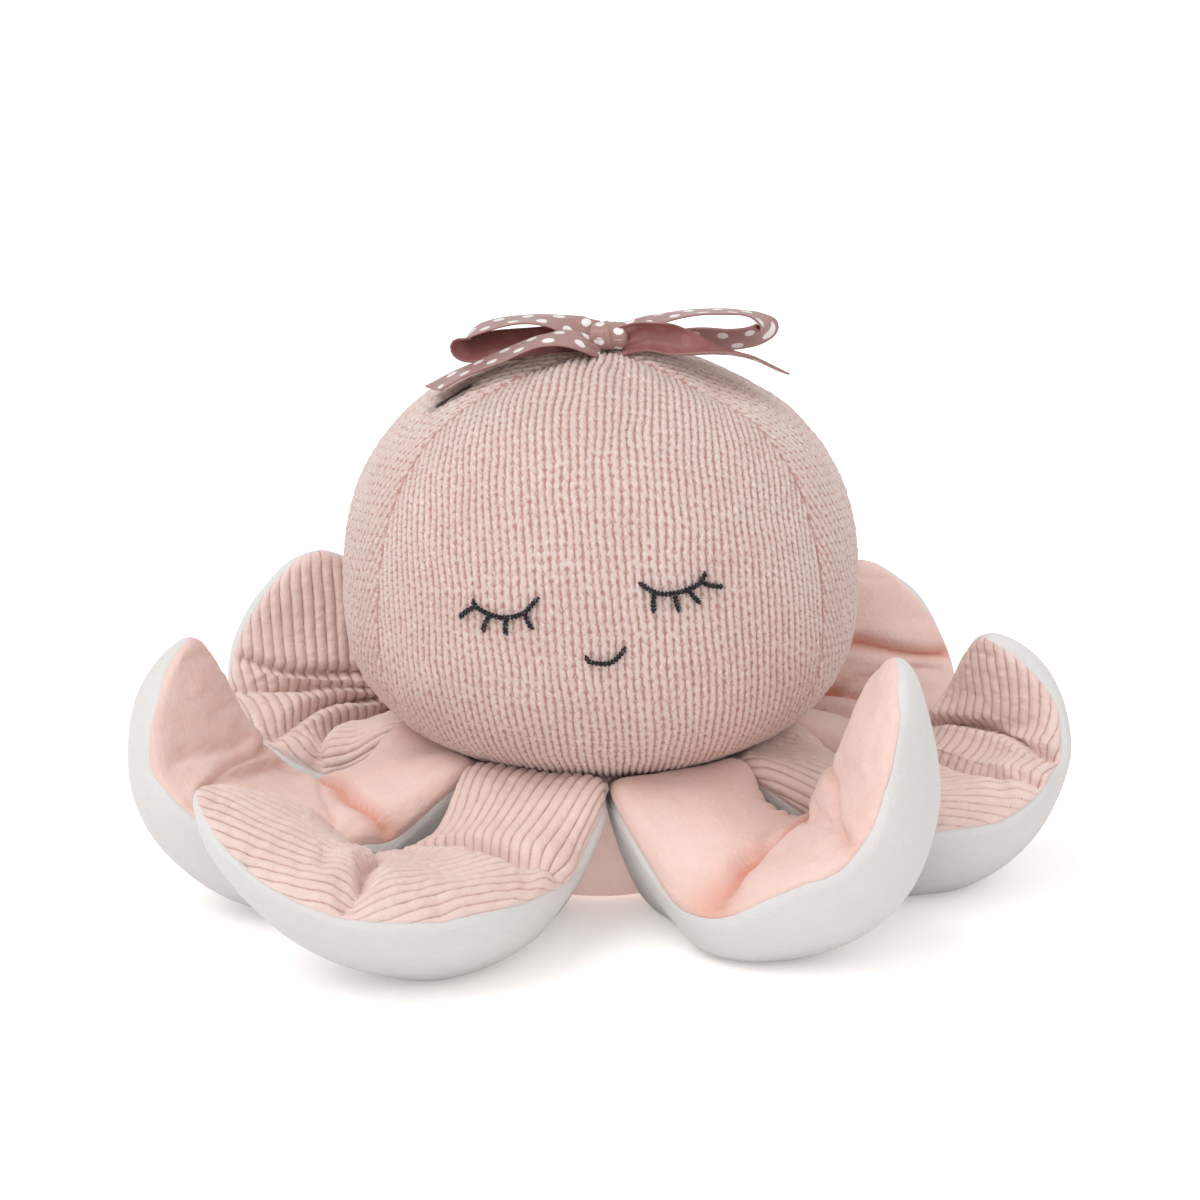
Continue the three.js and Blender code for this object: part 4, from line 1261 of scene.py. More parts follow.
def build_top(legs, shape, move, at, tip):
    """The top panel of a leg, with its creases and its ribs or its brushed pile. It gives back the lining."""
    cloth = shape.leg["cloth"]
    corduroy = cloth == "pink_corduroy"
    columns = CORDUROY_COLUMNS if corduroy else VELOUR_COLUMNS
    top = even_columns(shape.surface(at, 1), columns + 1)
    across = from_middle(top)
    lengths = at[:, None] + 0 * across
    creased, marks, shown = crease_relief(shape, at, across)
    creased = creased * smoothstep(from_seams(across), 0, CREASE_FROM_SEAM) * tip
    facing = normals(top)
    smooth = top if move is None else top + resize(move, len(at), columns + 1) * tip[..., None]
    top = smooth - facing * creased[..., None]
    pinch = seam_pinch(across)
    inner = 1 - pinch
    lift = PUFF * drift(lengths, across, PUFF_SIZE, shape.number + 3) * inner
    if corduroy:
        stray = RIB_STRAY * drift(lengths, across, RIB_STRAY_SIZE, shape.number + 20)
        rib = shape.ribs(at, across, marks) / legs.rib + stray
        relief = np.abs(np.sin(math.pi * rib)) ** RIB_ROUND
        relief *= RIB_EVEN + RIB_UNEVEN * drift(lengths, RIB_APART * np.floor(rib) * MM, RIB_UNEVEN_SIZE, 5)
        lift += legs.rib_depth * (relief - RIB_SUNK) * inner
    else:
        lift += CRUMPLE * drift(lengths, across, CRUMPLE_SIZE, shape.number + 9) * inner
    lift -= SEAM_DEPTH * pinch
    top = top + normals(top) * (lift * tip)[..., None]
    if not corduroy:
        # The velour's relief is painted shade in its folds and creases
        patchy = PATCHY + PATCHY_SPREAD * drift(lengths, across, PATCHY_SIZE, shape.number + 90)
        relief = np.clip(np.maximum(folds(top), shown * patchy), 0, 1) * tip
    below = deepest(creased - lift * tip, LINING_STEP) + legs.thickness * tip
    lining = (smooth - facing * below[..., None])[::LINING_STEP, ::LINING_STEP]
    make_panel(f"leg_{shape.leg['name']}_top", top, lining, at, across, relief, cloth)
    return lining


def build_underside(legs, shape, at, tip):
    """The white underside of a leg. It gives back the lining."""
    under = even_columns(shape.surface(at, -1)[:, ::-1], UNDERSIDE_COLUMNS + 1)
    across = from_middle(under)
    lengths = at[:, None] + 0 * across
    pinch = seam_pinch(across)
    dents = DENT * drift(lengths, across, DENT_SIZE, shape.number + 40)
    dents += SMALL_DENT * drift(lengths, across, SMALL_DENT_SIZE, shape.number + 60)
    moved = under + normals(under) * ((dents * (1 - pinch) - SEAM_DEPTH * pinch) * tip)[..., None]
    moved[..., 2] = np.maximum(moved[..., 2], 0)
    coarse = moved[::LINING_STEP, ::LINING_STEP]
    lining = coarse - normals(coarse) * legs.thickness * tip[::LINING_STEP, :, None]
    relief = np.zeros(across.shape)
    make_panel(f"leg_{shape.leg['name']}_underside", moved, lining, at, across, relief, "white_velour")
    return lining


FILLING_INSET = 1.2 * MM
FILLING_ENDS = (4 * MM, 5 * MM)  # how far it stays from the root and from the tip
FILLING_ROWS = 44
FILLING_COLUMNS = 17
FILLING_LUMP, FILLING_LUMP_SIZE = 0.12, 9 * MM  # depth, as a share of its thickness, and size of its lumps
THINNEST = 0.1  # share of the space that it fills where its panels nearly meet
CRUSHED, CRUSHED_REACH = 0.2, 9 * MM  # how much thinner it is under a crease, and how far from it


def build_filling(shape, at, top, under):
    """The fibre inside a leg, a little smaller than the space between the linings of its panels"""
    wanted = np.linspace(FILLING_ENDS[0], shape.length - FILLING_ENDS[1], FILLING_ROWS)
    rows = np.searchsorted(at, wanted)
    top = resize(top[rows], FILLING_ROWS, FILLING_COLUMNS)
    under = resize(under[rows], FILLING_ROWS, FILLING_COLUMNS)
    middle = (top.mean(axis=1, keepdims=True) + under.mean(axis=1, keepdims=True)) / 2
    ring = np.concatenate([top, under[:, 1:-1]], axis=1)
    reach = np.linalg.norm(ring - middle, axis=2, keepdims=True)
    lumps = drift(ring[..., :1] + ring[..., 2:], ring[..., 1:2], FILLING_LUMP_SIZE, shape.number)
    lumpy = 1 - FILLING_LUMP * np.abs(lumps)
    creases = [mark * shape.length for mark, *sizes in shape.leg["creases"]]
    crushed = 1 - CRUSHED * sum(np.exp(-((at[rows] - crease) / CRUSHED_REACH) ** 2) for crease in creases)
    inset = np.clip((reach - FILLING_INSET) / reach, THINNEST, 1)
    ring = middle + (ring - middle) * inset * lumpy * crushed[:, None, None]
    points, quads, triangles = tube(ring)
    name = f"leg_{shape.leg['name']}_filling"
    piece = make_piece(name + "_fibre", points, quads, triangles, finish_of("fibre_filling"))
    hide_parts(name)
    bend_with_leg(piece)


def build_legs(context):
    """The two panels and the filling of each leg"""
    legs = context.scene.octopus_legs
    shapes = [LegShape(context.scene, leg, number) for number, leg in enumerate(LEGS)]
    moves = settled_moves(context, shapes)
    for shape, move in zip(shapes, moves):
        row = CORDUROY_ROW if shape.leg["cloth"] == "pink_corduroy" else VELOUR_ROW
        at = shape.rows(int(shape.length / row / LINING_STEP) * LINING_STEP)
        tip = smoothstep(shape.length - at, 0, TIP_FADE)[:, None]
        top_lining = build_top(legs, shape, move, at, tip)
        under_lining = build_underside(legs, shape, at, tip)
        build_filling(shape, at[::LINING_STEP], top_lining, under_lining)


# Head filling and base

INSIDE_COLUMNS = 96
BALL_GAP = 2.5 * MM  # between the ball of fibre and the knit, and between its neck and the base panel
BALL_SPAN = (0.02, 0.985)  # the ball's first and last rows, as shares of the way from the top to the opening
BALL_ROWS = 60
BALL_LUMP, BALL_LUMP_SIZE = 1.2 * MM, 14 * MM
NECK_ROWS = 8
NECK_WIDTH = 0.9  # width of the foot of the neck as a share of its top


def build_head_filling(head, legs):
    """The ball of fibre inside the head, with a neck that goes down into the base"""
    shape = HeadShape(head)
    turn = np.linspace(-math.pi, math.pi, INSIDE_COLUMNS + 1)[:-1]
    turns, alongs = np.meshgrid(turn, np.linspace(*BALL_SPAN, BALL_ROWS) * shape.length)
    points, facing = shape.at(turns, alongs)[:2]
    x, y, z = (points[..., k] for k in range(3))
    lumps = BALL_LUMP * np.abs(drift(x + z, y - z, BALL_LUMP_SIZE, 60))
    inset = head.thickness + head.relief + BALL_GAP
    ball = points - facing * (inset + lumps)[..., None]
    floor = legs.thickness + BALL_GAP
    rings = list(ball)
    for portion in np.linspace(0, 1, NECK_ROWS)[1:]:
        row = ball[-1].copy()
        row[:, :2] *= lerp(1, NECK_WIDTH, smoothstep(portion, 0, 1))
        row[:, 2] = lerp(ball[-1][:, 2], floor, portion)
        rings.append(row)
    points, quads, triangles = tube(np.stack(rings))
    piece = make_piece("head_filling_fibre", points, quads, triangles, finish_of("fibre_filling"))
    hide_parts("head_filling")
    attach(piece, "toy")


# The outside of the base panel, from near its middle on the floor to its edge under the head, as [distance
# from the middle, height] in mm
BASE_PROFILE = [
    (2, 0.3), (12, 0.0), (19, 0.0), (22, 0.5), (24.6, 2.4), (25.9, 6), (26.1, 14), (26.1, 24), (25.2, 28.5),
]
BASE_ROWS = 57
BASE_SIDE_ENDS = (15 * MM, 25 * MM)  # distances from the middle over which its thickness starts to go inwards
BASE_FLOOR_ENDS = (19 * MM, 26 * MM)  # and over which it no longer goes upwards
BASE_RIPPLE, BASE_RIPPLES = 0.35 * MM, 16  # depth and count of the small gathers at its edge
BASE_RIPPLE_ENDS = (16 * MM, 26 * MM)  # heights over which they start


def build_base_panel(legs):
    """The round panel under the middle, which the toy stands on"""
    turns = np.linspace(-math.pi, math.pi, INSIDE_COLUMNS + 1)[:-1]
    profile = np.array(BASE_PROFILE, float)
    profile = resample(profile, np.linspace(0, len(profile) - 1, BASE_ROWS)) * MM
    out, up = profile[:, 0], profile[:, 1]
    inner_out = out - legs.thickness * smoothstep(out, *BASE_SIDE_ENDS)
    inner_up = up + legs.thickness * (1 - smoothstep(out, *BASE_FLOOR_ENDS))
    radius = np.concatenate([out, inner_out[::-1]])
    height = np.concatenate([up, inner_up[::-1]])
    ripple = BASE_RIPPLE * np.cos(BASE_RIPPLES * turns)[None] * smoothstep(height, *BASE_RIPPLE_ENDS)[:, None]
    reach = radius[:, None] + ripple
    across, back = reach * np.sin(turns), -reach * np.cos(turns)
    rings = np.stack([across, back, height[:, None] + 0 * reach], axis=-1)
    flat = np.stack([across, height[:, None] + back, 0 * reach], axis=-1)
    points, quads, triangles = tube(rings[:, ::-1])
    piece = make_piece(
        "base_panel_cloth", points, quads, triangles, finish_of("base_velour"), flat[:, ::-1].reshape(-1, 3)
    )
    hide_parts("base_panel")
    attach(piece, "toy")


def build_inside(context):
    head, legs = context.scene.octopus_head, context.scene.octopus_legs
    build_head_filling(head, legs)
    build_base_panel(legs)


# Face

# Each line is a curve through (x, height) in mm, seen from the front. Each lash is [share of the line where
# it starts, its end].
EYE_LEFT = dict(
    line=[(-27.8, 79.1), (-26.1, 77.3), (-23.1, 76.2), (-20.2, 76.0), (-16.4, 77.3), (-13.2, 80.9)],
    lashes=[(0.1, (-30.6, 74.5)), (0.3, (-25.3, 72.1)), (0.5, (-20.2, 72.0)), (0.74, (-14.4, 73.8))],
)
EYE_RIGHT = dict(
    line=[(8.3, 84.3), (11.7, 82.1), (14.9, 81.6), (18.4, 82.1), (21.4, 83.4), (22.8, 85.7)],
    lashes=[(0.24, (11.6, 77.5)), (0.5, (17.2, 77.4)), (0.68, (21.9, 78.8)), (0.85, (26.8, 82.0))],
)
SMILE = dict(line=[(-3.2, 68.5), (-2.1, 67.2), (0.3, 66.8), (2.2, 67.0), (3.9, 68.2), (5.5, 70.4)], lashes=[])
LASH_BOW = 0.05  # how far a lash bows out, as a share of its length
LASH_STARTS = 0.1  # mm between the points of a line that a lash can start from
THREAD_LIFT = 0.55 * MM  # from the knit's mean surface to the middle of a stitch
THREAD_SINK, THREAD_SINK_LENGTH = 0.75 * MM, 0.8 * MM  # how deep its ends go in, and over what length
THREAD_THIN, THREAD_THIN_LENGTH = 0.55, 0.9 * MM  # how thin its ends are, and over what length
THREAD_STEP = 0.14 * MM  # from one ring of points to the next
CURVE_FINE = 40  # points of a fine curve for each point that it goes through
PLY_SIDES = 8
PLY_OUT = 0.25  # from the middle of the thread to the middle of a ply, as a share of its width
PLY_HALF = 0.29  # half the width of a ply
PLY_FLAT = 0.5  # how far the plies go in and out of the surface, against how far they go sideways
ROUGH, ROUGH_SIZE = 0.10, 0.8 * MM  # how unevenly the plies lie


def evenly(path, spacing):
    """Points at an even spacing on a smooth curve through the given points"""
    fine = resample(path, np.linspace(0, len(path) - 1, CURVE_FINE * len(path)))
    places = path_lengths(fine)
    count = max(4, int(places[-1] / spacing))
    return at_lengths(fine, places, np.linspace(0, places[-1], count + 1))


def twisted_stroke(face, shape, path, seed):
    """Two plies of thread that turn round each other along a path of (x, height) on the face"""
    path = evenly(np.array(path, float) * MM, THREAD_STEP)
    turn, along = shape.front(path[:, 0], path[:, 1])
    middle, facing = shape.at(turn, along)[:2]
    forward = unit(np.gradient(middle, axis=0))
    sideways = np.cross(forward, facing)
    gone = np.arange(len(middle)) * THREAD_STEP
    left = np.minimum(gone, gone[-1] - gone)
    thin = lerp(THREAD_THIN, 1, smoothstep(left, 0, THREAD_THIN_LENGTH))
    sink = THREAD_SINK * (1 - smoothstep(left, 0, THREAD_SINK_LENGTH))
    rough = 1 + ROUGH * drift(gone, gone * 0 + seed, ROUGH_SIZE, seed)
    out = PLY_OUT * face.stroke * thin * rough
    thick = PLY_HALF * face.stroke * thin
    around = full_turn(PLY_SIDES)
    ring = sideways[:, None] * np.cos(around)[None, :, None] + facing[:, None] * np.sin(around)[None, :, None]
    plies = []
    for ply in (0, 1):
        phase = 2 * math.pi * gone / face.ply_turn + math.pi * ply + seed
        centre = middle + facing * (THREAD_LIFT - sink + PLY_FLAT * out * np.sin(phase))[:, None]
        centre += sideways * (out * np.cos(phase))[:, None]
        rings = centre[:, None] + ring * thick[:, None, None]
        none = 0 * rings[..., 0]
        flat = np.stack([none + around * thick[:, None], none + gone[:, None] + ply, none], axis=-1)
        plies.append((tube(rings), flat.reshape(-1, 3)))
    return plies


def build_stitches(context, name, drawing):
    """A line of the face with its lashes, as one piece"""
    face = context.scene.octopus_face
    shape = HeadShape(context.scene.octopus_head)
    line = np.array(drawing["line"])
    fine = evenly(line, LASH_STARTS)
    strokes = [line]
    for portion, end in drawing["lashes"]:
        start = fine[int(round(portion * (len(fine) - 1)))]
        end = np.array(end)
        bow = np.array([end[1] - start[1], start[0] - end[0]]) * LASH_BOW
        strokes.append(np.stack([start, (start + end) / 2 + bow, end]))
    points, quads, triangles, flats = [], [], [], []
    count = 0
    for seed, stroke in enumerate(strokes, 1):
        for (part, sides, caps), flat in twisted_stroke(face, shape, stroke, seed):
            points.append(part)
            quads.append(sides + count)
            triangles.append(caps + count)
            flats.append(fill_to(flat, len(part)))
            count += len(part)
    points, quads, triangles, flats = (np.concatenate(parts) for parts in (points, quads, triangles, flats))
    piece = make_piece(name + "_thread", points, quads, triangles, finish_of("dark_thread"), flats)
    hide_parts(name)
    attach(piece, "toy")


# Bow

BOW_X = 2 * MM
KNOT = np.array([4.0, 4.4, 3.1]) * MM  # half its width, depth and height
KNOT_HEIGHT = 126.6 * MM  # from the floor to where the ribbons meet
KNOT_RISE = 0.5 * MM  # from there to its middle
KNOT_SIDE = 2.4 * MM  # from its middle to where the ribbons come out
TAIL_BEND = 7 * MM  # length along a tail from where it leaves the knot, to an end point that is worked out and not used

# Each ribbon is a list of [out from the knot, back, up, toe, tilt, arc], in millimetres and degrees. Toe
# turns the ribbon's front edge outwards, tilt lifts its back edge, and arc is how far round a circle its
# section bends.
LOOP_LEFT = [
    (0, 1.0, 0.6, 0, 50, 20), (4.1, 1.2, 1.3, 0, 42, 34), (8.7, 2.0, 2.9, 4, 12, 24),
    (13.2, 2.4, 3.6, 6, 3, 12), (18, 2.5, 3.5, 8, 0, 8), (23, 2.5, 2.8, 12, 3, 6),
    (27.5, 2.4, 1.2, 20, 12, 4), (30.4, 2.2, -1.2, 30, 24, 0), (28.5, 2.0, -2.5, 26, 32, -4),
    (22, 1.8, -2.1, 14, 35, -10), (13, 1.6, -1.5, 6, 36, -12), (6, 1.4, -1.0, 4, 42, -14),
    (0, 0.8, -0.6, 0, 50, -12),
]
LOOP_RIGHT = [
    (0, 1.0, 0.8, 0, 30, 20), (5.3, 1.8, 2.8, 2, 8, 26), (11.9, 2.4, 4.4, 0, 0, 12),
    (18.3, 2.5, 5.3, -4, -4, 6), (25, 2.5, 5.5, -10, -6, 4), (30.5, 2.4, 4.6, -24, -10, 2),
    (33.4, 2.2, 2.2, -32, -20, 0), (30.6, 2.2, 0.0, -24, -32, 4), (25, 2.2, -0.9, -8, -38, 10),
    (17, 2.2, -0.5, 0, -38, 12), (8, 2.0, -0.4, 0, -20, 12), (0, 1.0, -0.8, 0, 0, 10),
]
TAIL_LEFT = [
    (0, -2.8, -2.0, 0, 30, 30), (4.1, -5.4, 0.0, 0, 16, 40), (8.7, -7.4, 1.0, 0, 8, 30),
    (13.2, -8.0, 0.6, 0, 4, 24), (17.7, -8.2, -1.0, 0, 3, 18), (22.3, -8.3, -2.9, 0, 3, 14),
    (31.0, -8.4, -6.7, 0, 2, 8), (37.2, -8.5, -9.9, 0, 5, -8),
]
TAIL_RIGHT = [
    (0, -3.2, -0.4, 0, 85, -70), (4.7, -6.2, 1.4, 0, 94, -165), (9.2, -7.6, 1.5, 0, 82, -175),
    (13.7, -8.2, 0.9, 0, 40, -140), (18.3, -8.4, 0.0, 0, 12, -80), (22.8, -8.5, -1.0, 0, -5, -40),
    (29, -8.6, -2.4, 0, -11, -16), (35.4, -8.6, -5.4, 0, -12, -8),
]
RIBBON_STEP = 0.22 * MM  # from one row of points to the next
RIBBON_COLUMNS = 33
LEAST_ARC = 0.02  # a flatter section is drawn with this arc, in radians
CUT_LENGTH = 3 * MM  # length over which a tail's end takes its slanted cut
RIBBON_FINE = 60  # points of its fine curve for each of its controls
PLEAT = 0.35 * MM  # depth of its pleats where it enters the knot
PLEAT_ENDS = (1 * MM, 9 * MM)  # lengths over which they fade
PLEAT_TURNS, PLEAT_PHASE = 9.5, 1.3  # radians from its middle to its edge, and at its middle
WAVE, WAVE_ACROSS, WAVE_SIZE = 0.18 * MM, 5 * MM, 6 * MM  # slow unevenness of a ribbon
EDGE_FROM = 0.9  # share of the way to its edge where the woven edge begins
EDGE_THICKER = 0.45  # how much thicker the edge is
EDGE_CLOSED = 0.45  # the thickness left at the very edge, as a share
BEAD, BEAD_LENGTH = 0.5, 0.66 * MM  # height and length of the woven edge's beads


def ribbon_line(controls, hand):
    """The middle line of a ribbon, its toe, tilt and arc there, the length gone and the whole length"""
    path = np.array(controls, float)
    path[:, :3] *= MM
    path[:, 3:] = np.radians(path[:, 3:])
    fine = resample(path, np.linspace(0, len(path) - 1, RIBBON_FINE * len(path)))
    places = path_lengths(fine[:, :3])
    total = places[-1]
    gone = np.linspace(0, total, int(total / RIBBON_STEP))
    out, back, up, toe, tilt, arc = at_lengths(fine, places, gone).T
    middle = np.stack([BOW_X + hand * (KNOT_SIDE + out), back, KNOT_HEIGHT + up], axis=1)
    return middle, toe, tilt, arc, gone, total


def ribbon(context, name, body, hand, controls, printed_side, slant):
    """A ribbon through its controls, with a printed face and a plain one. It is a loop if it rides on the
    toy, and otherwise a tail that is cut off at a slant, in mm."""
    bow = context.scene.octopus_bow
    is_loop = body == "toy"
    middle, toe, tilt, arc, gone, total = ribbon_line(controls, hand)
    forward = unit(np.gradient(middle, axis=0))
    across = np.stack([-hand * np.sin(toe), np.cos(toe) * np.cos(tilt), np.cos(toe) * np.sin(tilt)], axis=1)
    across = unit(across - forward * np.sum(across * forward, axis=1, keepdims=True))
    out = hand * np.cross(forward, across)
    from_knot = np.minimum(gone, total - gone) if is_loop else gone
    half = lerp(bow.gather, bow.ribbon, smoothstep(from_knot, 0, bow.gather_length)) / 2

    columns = np.linspace(-1, 1, RIBBON_COLUMNS)
    pleats = PLEAT * (1 - smoothstep(from_knot, *PLEAT_ENDS))[:, None]
    pleats = pleats * np.cos(PLEAT_TURNS * columns + PLEAT_PHASE)
    wave = WAVE * drift(gone[:, None] + 0 * columns, columns * WAVE_ACROSS, WAVE_SIZE, 70)
    bend = np.where(np.abs(arc) < LEAST_ARC, LEAST_ARC, arc)[:, None]
    circle = 2 * half[:, None] / bend
    raised = circle * (np.cos(bend * columns / 2) - np.cos(bend / 2)) + pleats + wave
    centre = middle[:, None] + across[:, None] * (circle * np.sin(bend * columns / 2))[..., None]
    centre += out[:, None] * raised[..., None]
    end = smoothstep(gone, total - CUT_LENGTH, total) * (0 if is_loop else 1)
    centre += forward[:, None] * (slant * MM * columns[None] * end[:, None] / 2)[..., None]
    facing = normals(centre)
    if np.sum(facing * out[:, None]) < 0:
        facing = -facing

    edge = smoothstep(np.abs(columns), EDGE_FROM, 1.0)
    beads = 1 + BEAD * np.cos(2 * math.pi * gone / BEAD_LENGTH)[:, None]
    closed = np.where(np.abs(columns) == 1, EDGE_CLOSED, 1)
    thick = bow.thickness / 2 * (1 + EDGE_THICKER * edge * beads) * closed
    upper = centre + facing * thick[..., None]
    lower = centre - facing * thick[..., None]
    first, second = (upper, lower) if hand > 0 else (lower, upper)
    points, quads, triangles = lined_sheet(first, second, 1)
    flat = np.stack([half[:, None] * columns, gone[:, None] + 0 * columns, 0 * raised], axis=-1)
    flat = np.concatenate([flat.reshape(-1, 3)] * 2)
    print_first = 1.0 if (printed_side > 0) == (hand > 0) else 0.0
    printed = np.repeat([print_first, 1 - print_first], raised.size)
    piece = make_piece(name + "_satin", points, quads, triangles, finish_of("rose_satin"), flat, printed)
    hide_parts(name)
    if is_loop:
        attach(piece, body)
    else:
        start = BOW_X + hand * KNOT_SIDE
        end = start + hand * TAIL_BEND
        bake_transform(piece)


KNOT_ROWS, KNOT_SIDES = 61, 120
KNOT_ENDS = 0.66  # thickness of the knot at its ends, as a share of its middle
KNOT_BARREL = 3.2  # more than 2 keeps it thick towards its ends
KNOT_BOXY = 0.8  # less than 1 squares its section
KNOT_PLEAT, KNOT_PLEAT_TURNS = 0.045, 7  # depth of its pleats as a share of it, and radians to its end
KNOT_PLEAT_PHASE = 0.8  # moves the pleats along it, in radians
KNOT_VARIED, KNOT_VARIED_PHASE = 0.4, 1  # share by which their depth changes round it, and where, in radians
KNOT_CRINKLE, KNOT_CRINKLE_TURNS = 0.03, 13  # depth of its smaller pleats, and radians to its end
KNOT_CRINKLE_STRAY = 2  # how far these wander along it, in radians
KNOT_BULGE = 0.10  # how much longer it is in front than behind, each way from its middle
KNOT_WIDE = 1.25  # width of the ribbon in it, as a share of the knot's
KNOT_WRAP = 4.1 * MM  # length of ribbon to each radian round it
KNOT_PRINT = 1.0 * MM  # moves the dots round it


def build_knot(context):
    """The ribbon that is wrapped round the middle of the bow, with pleats along it"""
    along = np.linspace(-1, 1, KNOT_ROWS)[:, None]
    around = full_turn(KNOT_SIDES)
    half_x, half_y, half_z = KNOT
    barrel = lerp(KNOT_ENDS, 1, (1 - np.abs(along) ** KNOT_BARREL) ** 0.5)
    varied = 1 + KNOT_VARIED * np.sin(2 * around + KNOT_VARIED_PHASE)
    pleats = 1 + KNOT_PLEAT * np.cos(KNOT_PLEAT_TURNS * along + KNOT_PLEAT_PHASE) * varied
    wander = KNOT_CRINKLE_STRAY * np.sin(around)
    pleats = pleats + KNOT_CRINKLE * np.cos(KNOT_CRINKLE_TURNS * along + wander)
    reach = barrel * pleats
    cos, sin = np.cos(around), np.sin(around)
    x = BOW_X + half_x * along * (1 + KNOT_BULGE * cos)
    y = -half_y * reach * np.sign(cos) * np.abs(cos) ** KNOT_BOXY
    z = KNOT_HEIGHT + KNOT_RISE + half_z * reach * np.sign(sin) * np.abs(sin) ** KNOT_BOXY
    wrap = KNOT_WRAP * around
    flat = np.stack([KNOT_WIDE * half_x * along + 0 * wrap, wrap + 0 * x + KNOT_PRINT, 0 * x], axis=-1)
    points, quads, triangles = tube(np.stack([x, y, z], axis=-1))
    finish, printed = finish_of("rose_satin"), np.ones(x.size)
    piece = make_piece("bow_knot_satin", points, quads, triangles, finish, flat.reshape(-1, 3), printed)
    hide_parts("bow_knot")
    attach(piece, "toy")


def build_bow(context):
    build_knot(context)
    ribbon(context, "bow_loop_left", "toy", -1, LOOP_LEFT, printed_side=1, slant=0)
    ribbon(context, "bow_loop_right", "toy", 1, LOOP_RIGHT, printed_side=1, slant=0)
    ribbon(context, "bow_tail_left", "tail_left", -1, TAIL_LEFT, printed_side=1, slant=4)
    ribbon(context, "bow_tail_right", "tail_right", 1, TAIL_RIGHT, printed_side=-1, slant=-5)


# Stage

FLOOR_HALF = 8.0
PAPER = (1, 1, 1, 1)  # what the camera sees behind the floor
SENSOR_WIDTH = 36  # mm


def add_sun(context, name, energy, width, direction, tint=(1, 1, 1)):
    """A soft, even light. Width is how wide it looks, in degrees."""
    lamp = bpy.data.lights.new(name, "SUN")
    lamp.energy = energy
    lamp.color = tint
    lamp.angle = math.radians(width)
    light = bpy.data.objects.new(name, lamp)
    light.rotation_euler = Vector(direction).to_track_quat("-Z", "Y").to_euler()
    context.scene.collection.objects.link(light)


def build_floor(stage):
    half = FLOOR_HALF
    corners = np.array([(-half, -half, 0), (half, -half, 0), (half, half, 0), (-half, half, 0)])
    material, tree, shader = new_material("White floor")
    set_inputs(
        shader, Base_Color=tuple(stage.floor), Roughness=0.9, Specular_IOR_Level=0.1, Emission_Strength=1.0
    )
    seen = add_node(tree, "ShaderNodeLightPath").outputs["Is Camera Ray"]
    tree.links.new(blend_colour(tree, seen, (0, 0, 0, 1), tuple(stage.glow)), shader.inputs["Emission Color"])
    floor = make_piece("floor", corners, np.array([(0, 1, 2, 3)]), np.zeros((0, 3), int), material)


def build_sky(context, stage):
    """Even light from all round, behind which the camera sees plain white"""
    world = bpy.data.worlds.new("Even light")
    world.use_nodes = True
    tree = world.node_tree
    light = tree.nodes["Background"]
    set_inputs(light, Color=(1, 1, 1, 1), Strength=stage.sky)
    paper = add_node(tree, "ShaderNodeBackground", {"Color": PAPER, "Strength": 1.0})
    seen = add_node(tree, "ShaderNodeLightPath").outputs["Is Camera Ray"]
    both = add_node(
        tree, "ShaderNodeMixShader", {0: seen, 1: light.outputs["Background"], 2: paper.outputs["Background"]}
    )
    tree.links.new(both.outputs["Shader"], tree.nodes["World Output"].inputs["Surface"])
    context.scene.world = world


def build_camera(context, stage):
    lens = bpy.data.cameras.new("Camera")
    lens.lens = stage.lens
    lens.sensor_width = SENSOR_WIDTH
    lens.clip_end = 50
    camera = bpy.data.objects.new("Camera", lens)
    context.scene.collection.objects.link(camera)
    target = Vector((0, 0, stage.target_height))
    back = Vector((0, -math.cos(stage.elevation), math.sin(stage.elevation)))
    camera.location = target + back * stage.distance
    camera.rotation_euler = (-back).to_track_quat("-Z", "Y").to_euler()
    context.scene.camera = camera
    context.scene.view_settings.view_transform = "Standard"


def build_stage(context):
    """White floor, even light and the photograph's camera"""
    stage = context.scene.octopus_stage
    build_floor(stage)
    build_sky(context, stage)
    add_sun(context, "Key", stage.key, width=40, direction=(0.45, 0.35, -1))
    add_sun(context, "Fill", stage.fill, width=100, direction=(0, 1, -0.15), tint=(1.0, 0.95, 0.93))
    build_camera(context, stage)


class OCTOPUS_OT_stage(bpy.types.Operator):
    """Make the floor, the light and the camera"""

    bl_idname = "octopus.stage"
    bl_label = "Stage"

    def execute(self, context):
        build_stage(context)
        return {"FINISHED"}


class OCTOPUS_OT_cover(bpy.types.Operator):
    """Knit the cover of the head"""

    bl_idname = "octopus.cover"
    bl_label = "Head cover"

    def execute(self, context):
        build_cover(context)
        return {"FINISHED"}


class OCTOPUS_OT_legs(bpy.types.Operator):
    """Sew and fill the eight legs"""

    bl_idname = "octopus.legs"
    bl_label = "Legs"

    def execute(self, context):
        build_legs(context)
        return {"FINISHED"}


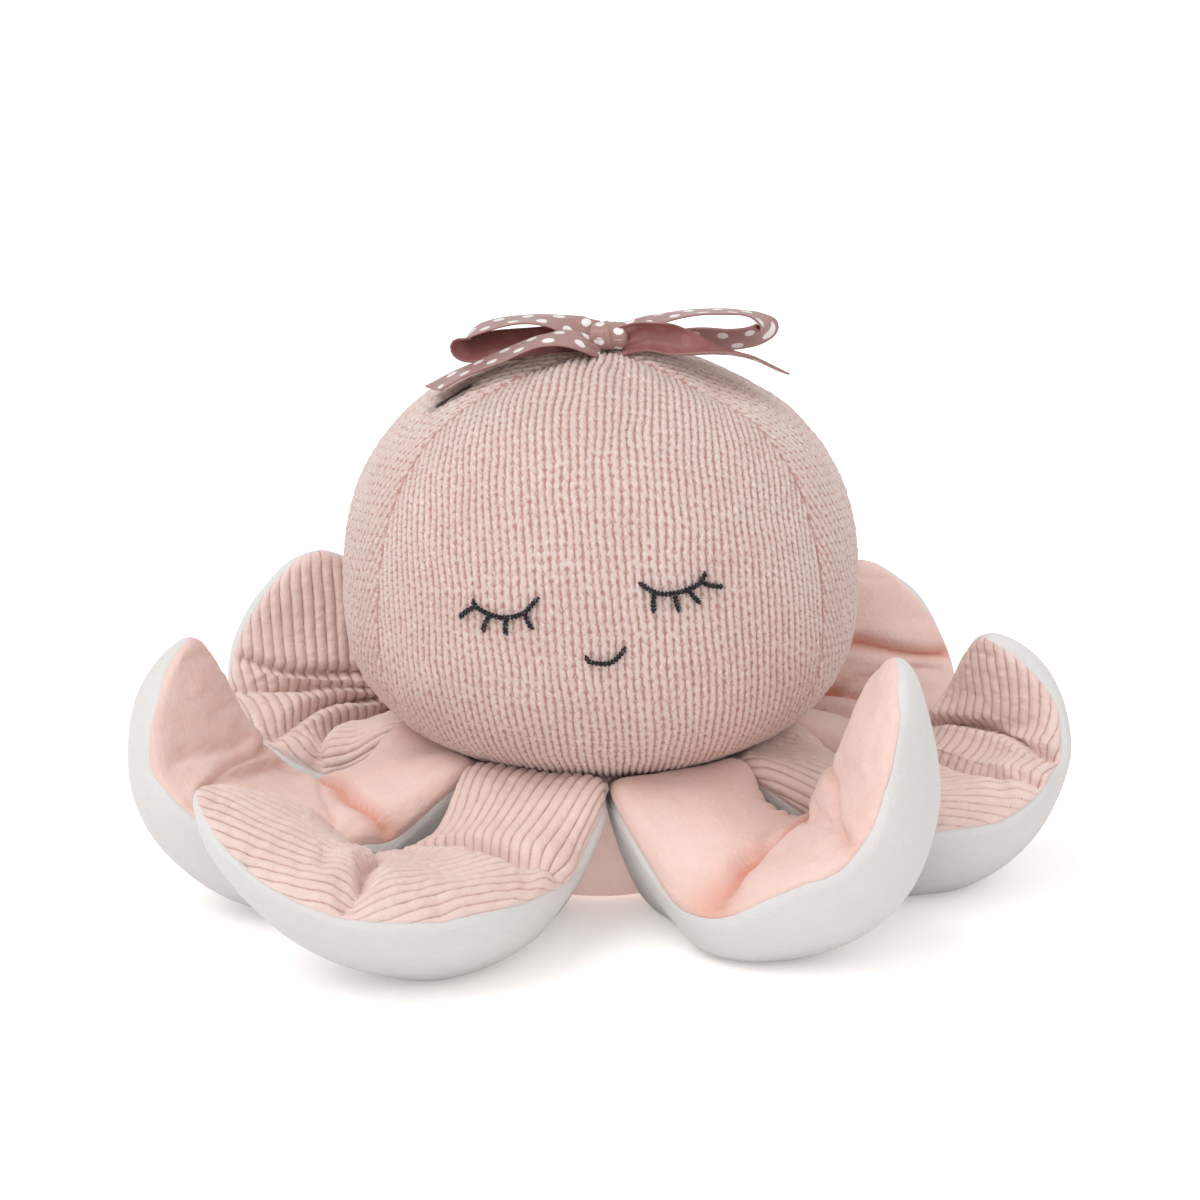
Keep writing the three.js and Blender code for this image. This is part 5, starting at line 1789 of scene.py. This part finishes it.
class OCTOPUS_OT_inside(bpy.types.Operator):
    """Fill the head and close the base"""

    bl_idname = "octopus.inside"
    bl_label = "Head filling and base"

    def execute(self, context):
        build_inside(context)
        return {"FINISHED"}


class OCTOPUS_OT_face(bpy.types.Operator):
    """Embroider the closed eyes and the smile"""

    bl_idname = "octopus.face"
    bl_label = "Face"

    def execute(self, context):
        build_stitches(context, "eye_left", EYE_LEFT)
        build_stitches(context, "eye_right", EYE_RIGHT)
        build_stitches(context, "smile", SMILE)
        return {"FINISHED"}


class OCTOPUS_OT_bow(bpy.types.Operator):
    """Tie the ribbon bow on top of the head"""

    bl_idname = "octopus.bow"
    bl_label = "Bow"

    def execute(self, context):
        build_bow(context)
        return {"FINISHED"}


OPERATORS = [
    OCTOPUS_OT_stage,
    OCTOPUS_OT_cover,
    OCTOPUS_OT_inside,
    OCTOPUS_OT_legs,
    OCTOPUS_OT_face,
    OCTOPUS_OT_bow,
]


class OCTOPUS_PT_panel(bpy.types.Panel):
    """Buttons for each group of pieces, and their sizes and colours"""

    bl_label = "Octopus soft toy"
    bl_space_type = "VIEW_3D"
    bl_region_type = "UI"
    bl_category = "Octopus"

    def draw(self, context):
        for operator in OPERATORS:
            self.layout.operator(operator.bl_idname)
        for name, group in SETTINGS.items():
            box = self.layout.box()
            box.label(text=group.__doc__)
            for label in group.__annotations__:
                box.prop(getattr(context.scene, name), label)


def register():
    for group in SETTINGS.values():
        bpy.utils.register_class(group)
    for name, group in SETTINGS.items():
        setattr(bpy.types.Scene, name, bpy.props.PointerProperty(type=group))
    for operator in OPERATORS:
        bpy.utils.register_class(operator)
    bpy.utils.register_class(OCTOPUS_PT_panel)


def unregister():
    bpy.utils.unregister_class(OCTOPUS_PT_panel)
    for operator in reversed(OPERATORS):
        bpy.utils.unregister_class(operator)
    for name in SETTINGS:
        delattr(bpy.types.Scene, name)
    for group in reversed(SETTINGS.values()):
        bpy.utils.unregister_class(group)


def main():
    register()
    bpy.ops.octopus.stage()
    bpy.ops.octopus.cover()
    bpy.ops.octopus.inside()
    bpy.ops.octopus.legs()
    bpy.ops.octopus.face()
    bpy.ops.octopus.bow()


if __name__ == "__main__":
    main()
